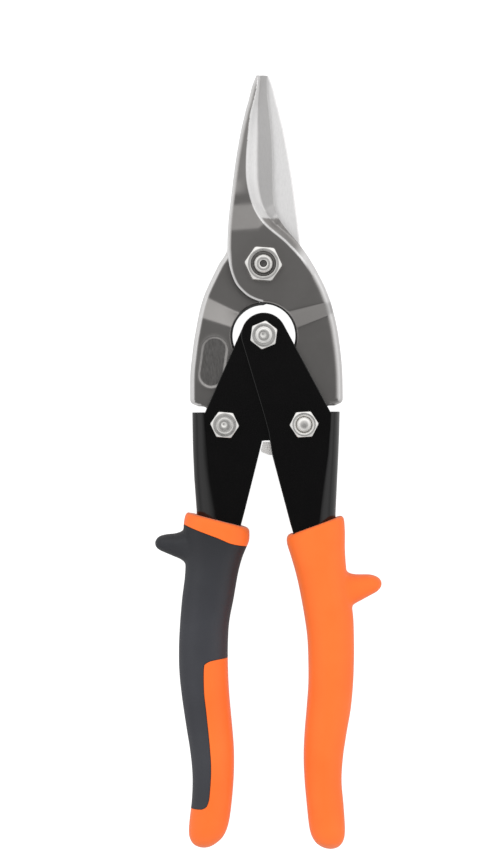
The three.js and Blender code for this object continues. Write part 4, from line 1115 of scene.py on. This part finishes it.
# ------------------------------------------------------------------ grips
# Stations: y and x of the left side, y and x of the right side, half height.
LEFT_GRIP = [
    [-79.9, -25.0, -84.9, -5.7, 8.7], [-80.3, -25.5, -85.4, -5.2, 9.1],
    [-81.4, -25.9, -86.3, -4.98, 9.4], [-84.4, -26.3, -89.2, -5.1, GRIP_HALF],
    [-88, -26.1, -91.5, -6.1, GRIP_HALF], [-93, -25.7, -95, -7.5, GRIP_HALF],
    [-99.9, -25.9, -99.9, -8.8, GRIP_HALF], [-107.7, -26.9, -107.7, -10.2, GRIP_HALF],
    [-115.4, -27.6, -115.4, -11.7, GRIP_HALF], [-123, -28.0, -123, -12.2, GRIP_HALF],
    [-131, -27.95, -131, -12.2, GRIP_HALF], [-139, -27.2, -139, -11.85, GRIP_HALF],
    [-149, -25.8, -149, -11.0, GRIP_HALF], [-156.8, -24.6, -156.8, -10.45, GRIP_HALF],
    [-164.5, -23.9, -164.5, -10.5, GRIP_HALF], [-172.3, -24.1, -172.3, -11.1, GRIP_HALF],
    [-180, -25.0, -180, -12.2, GRIP_HALF], [-184.2, -25.1, -184.4, -13.9, 8.6],
    [-186.9, -23.9, -187.0, -16.6, 6.4], [-188.2, -21.9, -188.2, -18.7, 3.4],
    [-188.5, -21.0, -188.5, -19.6, 1.2]]
RIGHT_GRIP = [
    [-87.3, 7.8, -81.2, 24.9, 8.7], [-87.7, 7.3, -81.7, 25.4, 9.1],
    [-88.6, 7.05, -82.9, 25.7, 9.4], [-90.5, 7.2, -87, 25.9, GRIP_HALF],
    [-94.7, 8.5, -92, 25.85, GRIP_HALF], [-99.9, 9.96, -98, 26.2, GRIP_HALF],
    [-105, 11.1, -105, 27.0, GRIP_HALF], [-112.8, 12.5, -112.8, 28.3, GRIP_HALF],
    [-120.6, 13.55, -120.6, 28.6, GRIP_HALF], [-128.3, 13.85, -128.3, 28.55, GRIP_HALF],
    [-136, 13.8, -136, 28.2, GRIP_HALF], [-143.8, 13.2, -143.8, 27.4, GRIP_HALF],
    [-151.6, 12.5, -151.6, 26.0, GRIP_HALF], [-159.3, 12.15, -159.3, 24.8, GRIP_HALF],
    [-167, 12.4, -167, 24.3, GRIP_HALF], [-174.8, 13.05, -174.8, 24.9, GRIP_HALF],
    [-182.6, 13.9, -182.6, 25.3, GRIP_HALF], [-186.2, 15.4, -186.0, 24.8, 8.4],
    [-188.0, 17.4, -187.9, 23.6, 6.0], [-188.9, 19.2, -188.9, 22.1, 3.2],
    [-189.1, 20.1, -189.1, 21.3, 1.2]]
# Horn on each grip's outer side: x, upper y, lower y, half height.
LEFT_HORN = [
    [-21.5, -84.4, -100.5, 7.4], [-24.2, -84.9, -98.4, 7.0], [-25.8, -85.5, -96.4, 6.6],
    [-27.3, -86.2, -95.1, 6.2], [-29.2, -86.75, -94.3, 5.8], [-32, -87.0, -93.1, 5.4],
    [-34.2, -87.6, -92.1, 4.5], [-35.3, -88.7, -91.1, 2.9], [-35.62, -89.5, -90.2, 1.0]]
RIGHT_HORN = [
    [22.5, -96.0, -117.5, 7.4], [25.3, -98.0, -114.2, 7.0], [26.8, -99.6, -111.8, 6.6],
    [28.6, -100.25, -110.1, 6.2], [31, -100.35, -108.8, 5.8], [34, -100.4, -107.2, 5.2],
    [36.3, -101.1, -105.9, 4.3], [37.45, -102.2, -104.6, 2.8], [37.78, -103.0, -103.8, 1.0]]
# Border of the left grip's dark cover, x, y: its end near the blades, then its inner side.
COVER_TOP = [[-25.6, -84.08], [-21.28, -85.85], [-14.97, -88.28], [-10.97, -90.0],
             [-5.94, -91.05], [-2, -91.6]]
COVER_SIDE = [[-11.84, -126.55], [-16.69, -127.17], [-19.2, -128.1], [-19.98, -129.8],
              [-19.98, -137.37], [-19.25, -144.48], [-18.27, -154.81], [-17.87, -162.57],
              [-18.37, -170.32], [-18.75, -172.6], [-19.5, -174.3], [-20.9, -175.05]]
# The zone reaches out to x = -45 so that the horn belongs to the cover.
COVER_ZONE = np.vstack([
    [[-45, -80.5], [-27.5, -83.2]], spline(COVER_TOP, 0.8)[:-1], COVER_TOP[-1:],
    [[-2, -126.3]], spline(COVER_SIDE, 0.6), [[-23.3, -175.1], [-45, -175.2]]])


def grip_ring(station, inset):
    """Rounded rectangle across the grip, skewed with its two sides' y."""
    left_y, left_x, right_y, right_x, half = station
    width = (right_x - left_x) / 2 - inset
    height = max(half - inset, 0.5)
    r = max(0.3, min(6.6 - inset, width * 0.96, height * 0.96))
    corners = []
    for sx, sz, start in ((1, -1, -90), (1, 1, 0), (-1, 1, 90), (-1, -1, 180)):
        a = np.radians(start + np.linspace(0, 90, 10))
        corners.append(np.c_[sx * (width - r) + r * np.cos(a), sz * (height - r) + r * np.sin(a)])
    x, z = np.vstack(corners).T
    slope = (right_y - left_y) / (right_x - left_x)
    return np.c_[(left_x + right_x) / 2 + x, (left_y + right_y) / 2 + x * slope, z]


def grip_body(name, stations, inset=0.0, mats=()):
    p = np.array(stations, float)
    rows = spline(np.c_[(p[:, 0] + p[:, 2]) / 2, p], 1.2)[:, 1:]
    return loft(name, [grip_ring(row, inset) for row in rows], 40, mats)


def grip_solid(name, stations, horn, mats):
    """Grip and horn fused, with the join smoothed."""
    def squarish(v):
        return np.sign(v) * np.abs(v) ** 0.85

    body = grip_body(name, stations, mats=mats)
    a = np.arange(40) * 2 * math.pi / 40
    rings = [np.c_[np.full(40, x), (y0 + y1) / 2 + (y0 - y1) / 2 * squarish(np.cos(a)),
                   half * squarish(np.sin(a))] for x, y0, y1, half in spline(horn, 0.6)]
    boolean(body, loft("horn", rings, 40, mats), "UNION")
    remesh = body.modifiers.new("remesh", "REMESH")
    remesh.mode = "VOXEL"
    remesh.voxel_size = 0.5 * MM
    smooth = body.modifiers.new("smooth", "SMOOTH")
    smooth.factor = 0.5
    smooth.iterations = 9
    apply_mods(body)
    return body


def cavity(channel, half, side, gap=0.26):
    """Room for the channel inside a grip."""
    rows = [row for row in channel if row[0] < -60]
    y, *rest = rows[-1]
    rows[-1] = [y - 0.25, *rest]
    return loft("cavity", [channel_ring(row, side, half + gap, 8, grow=gap, inset=gap)
                           for row in rows])


def grow(plan, margin):
    p = np.array(plan, float)
    along = unit_rows(np.roll(p, -1, 0) - np.roll(p, 1, 0))
    area = 0.5 * np.sum(p[:, 0] * np.roll(p[:, 1], -1) - np.roll(p[:, 0], -1) * p[:, 1])
    turn = 1 if area > 0 else -1
    return p + turn * margin * np.stack([along[:, 1], -along[:, 0]], 1)


def build_grips():
    right = grip_solid("right_grip_shell", RIGHT_GRIP, RIGHT_HORN, (ORANGE,))
    boolean(right, cavity(RIGHT_CHANNEL, OUT_HI, 1))
    tidy(right, 40)
    ship(right, "right_handle", "right_grip")

    cover = grip_solid("left_grip_cover_shell", LEFT_GRIP, LEFT_HORN, (DARK,))
    core = cover.copy()
    core.data = cover.data.copy()
    core.name = "left_grip_core_shell"
    SCENE.collection.objects.link(core)
    core.data.materials.clear()
    core.data.materials.append(ORANGE)
    boolean(cover, prism("zone", COVER_ZONE, -14, 14), "INTERSECT")
    boolean(cover, grip_body("inside", LEFT_GRIP, COVER_WALL))
    # the core gives way to the cover with a small gap all round
    recess = prism("recess", grow(COVER_ZONE, COVER_GAP), -14, 14)
    boolean(recess, grip_body("inside", LEFT_GRIP, COVER_WALL + COVER_GAP))
    boolean(core, recess)
    boolean(core, cavity(LEFT_CHANNEL, IN_HI, -1))
    tidy(cover, 40)
    tidy(core, 40)
    ship(cover, "left_handle", "left_grip_cover")
    ship(core, "left_handle", "left_grip_core")


build_grips()


# ------------------------------------------------------------------ floor, light, camera
def build_floor(half=6.0, z=-0.00006):
    mesh = bpy.data.meshes.new("floor")
    mesh.from_pydata([(-half, -half, z), (half, -half, z), (half, half, z), (-half, half, z)],
                     [], [(0, 1, 2, 3)])
    floor = bpy.data.objects.new("floor", mesh)
    SCENE.collection.objects.link(floor)
    mat, sh = new_material("floor")
    seen = sh.add("LightPath").outputs["Is Camera Ray"]
    sh.surface(Base_Color=sh.ramp(sh.noise(8, 2), (0.3, 0.30), (0.7, 0.31)),
               Roughness=0.9, Specular_IOR_Level=0.1, Emission_Color=(1, 1, 1, 1),
               Emission_Strength=sh.remap(seen, 0.28, 0.96, start=0.0, end=1.0))
    mesh.materials.append(mat)


def build_world():
    """White dome; reflections see it dark overhead, brighter past the tips, with a softbox."""
    world = bpy.data.worlds.new("studio")
    SCENE.world = world
    world.use_nodes = True
    world.node_tree.nodes.clear()
    sh = Shader(world.node_tree)
    output = sh.add("OutputWorld")
    ray = sh.add("TexCoord").outputs["Generated"]

    def toward(*direction):
        node = sh.add("VectorMath", {0: ray, 1: Vector(direction).normalized()},
                      operation="DOT_PRODUCT")
        return node.outputs["Value"]

    angle = sh.add("Math", {0: toward(0.02, -0.10, 1.0)}, operation="ARCCOSINE").outputs[0]
    dome = sh.ramp(sh.remap(angle, 0, 1, start=0, end=math.radians(90)), (0.0, 0.07),
                   (0.10, 0.09), (0.22, 0.50), (0.40, 0.86), (0.68, 0.92), (1.0, 0.48))
    path = sh.add("LightPath")
    y = sh.add("SeparateXYZ", {0: ray}).outputs["Y"]
    beyond_tips = sh.remap(y, 0.68, 1.60, start=-1.0, end=1.0)
    # low softbox, left of the handles
    softbox = sh.remap(toward(-0.24, -0.79, 0.56), 0.0, 0.30,
                       start=math.cos(math.radians(28)), end=math.cos(math.radians(6)))
    gain = sh.add("Math", {0: beyond_tips, 1: softbox}, operation="ADD").outputs[0]
    mirrored = sh.add("VectorMath", operation="SCALE")
    sh.fill(mirrored, {0: dome, "Scale": gain})
    light = sh.mix(path.outputs["Is Glossy Ray"], (1.0, 1.0, 1.0, 1), mirrored.outputs[0])
    # the backdrop meets the floor without a line
    color = sh.mix(path.outputs["Is Camera Ray"], light, (1.15, 1.15, 1.15, 1))
    background = sh.add("Background", {"Color": color, "Strength": 0.9})
    sh.fill(output, {0: background.outputs[0]})


def area_light(name, location, target, size, power):
    light = bpy.data.lights.new(name, "AREA")
    light.shape = "RECTANGLE"
    light.size, light.size_y = size
    light.energy = power
    ob = bpy.data.objects.new(name, light)
    SCENE.collection.objects.link(ob)
    ob.location = location
    aim = Vector(target) - Vector(location)
    ob.rotation_euler = aim.to_track_quat("-Z", "Y").to_euler()
    ob.visible_glossy = False          # only the dome is mirrored


def build_camera(lens=120, sensor=36, view=274.9):
    """Looks straight down, with view millimetres across the frame 3 mm above z = 0."""
    cam = bpy.data.cameras.new("cam")
    cam.sensor_fit = "AUTO"
    cam.sensor_width = sensor
    cam.lens = lens
    cam.clip_start = 0.01
    cam.clip_end = 50
    ob = bpy.data.objects.new("cam", cam)
    SCENE.collection.objects.link(ob)
    ob.location = at(-4.61, -51.94, view * lens / sensor + 3)
    ob.rotation_euler = (0, 0, math.radians(-0.344))
    SCENE.camera = ob


build_floor()
build_world()
area_light("key", location=(-0.75, 0.45, 0.75), target=(0, -0.05, 0), size=(0.7, 0.9), power=5.0)
area_light("fill", location=(0.8, -0.1, 0.6), target=(0, -0.06, 0), size=(0.6, 0.9), power=3.0)
build_camera()
SCENE.view_settings.view_transform = "Standard"
SCENE.view_settings.look = "None"
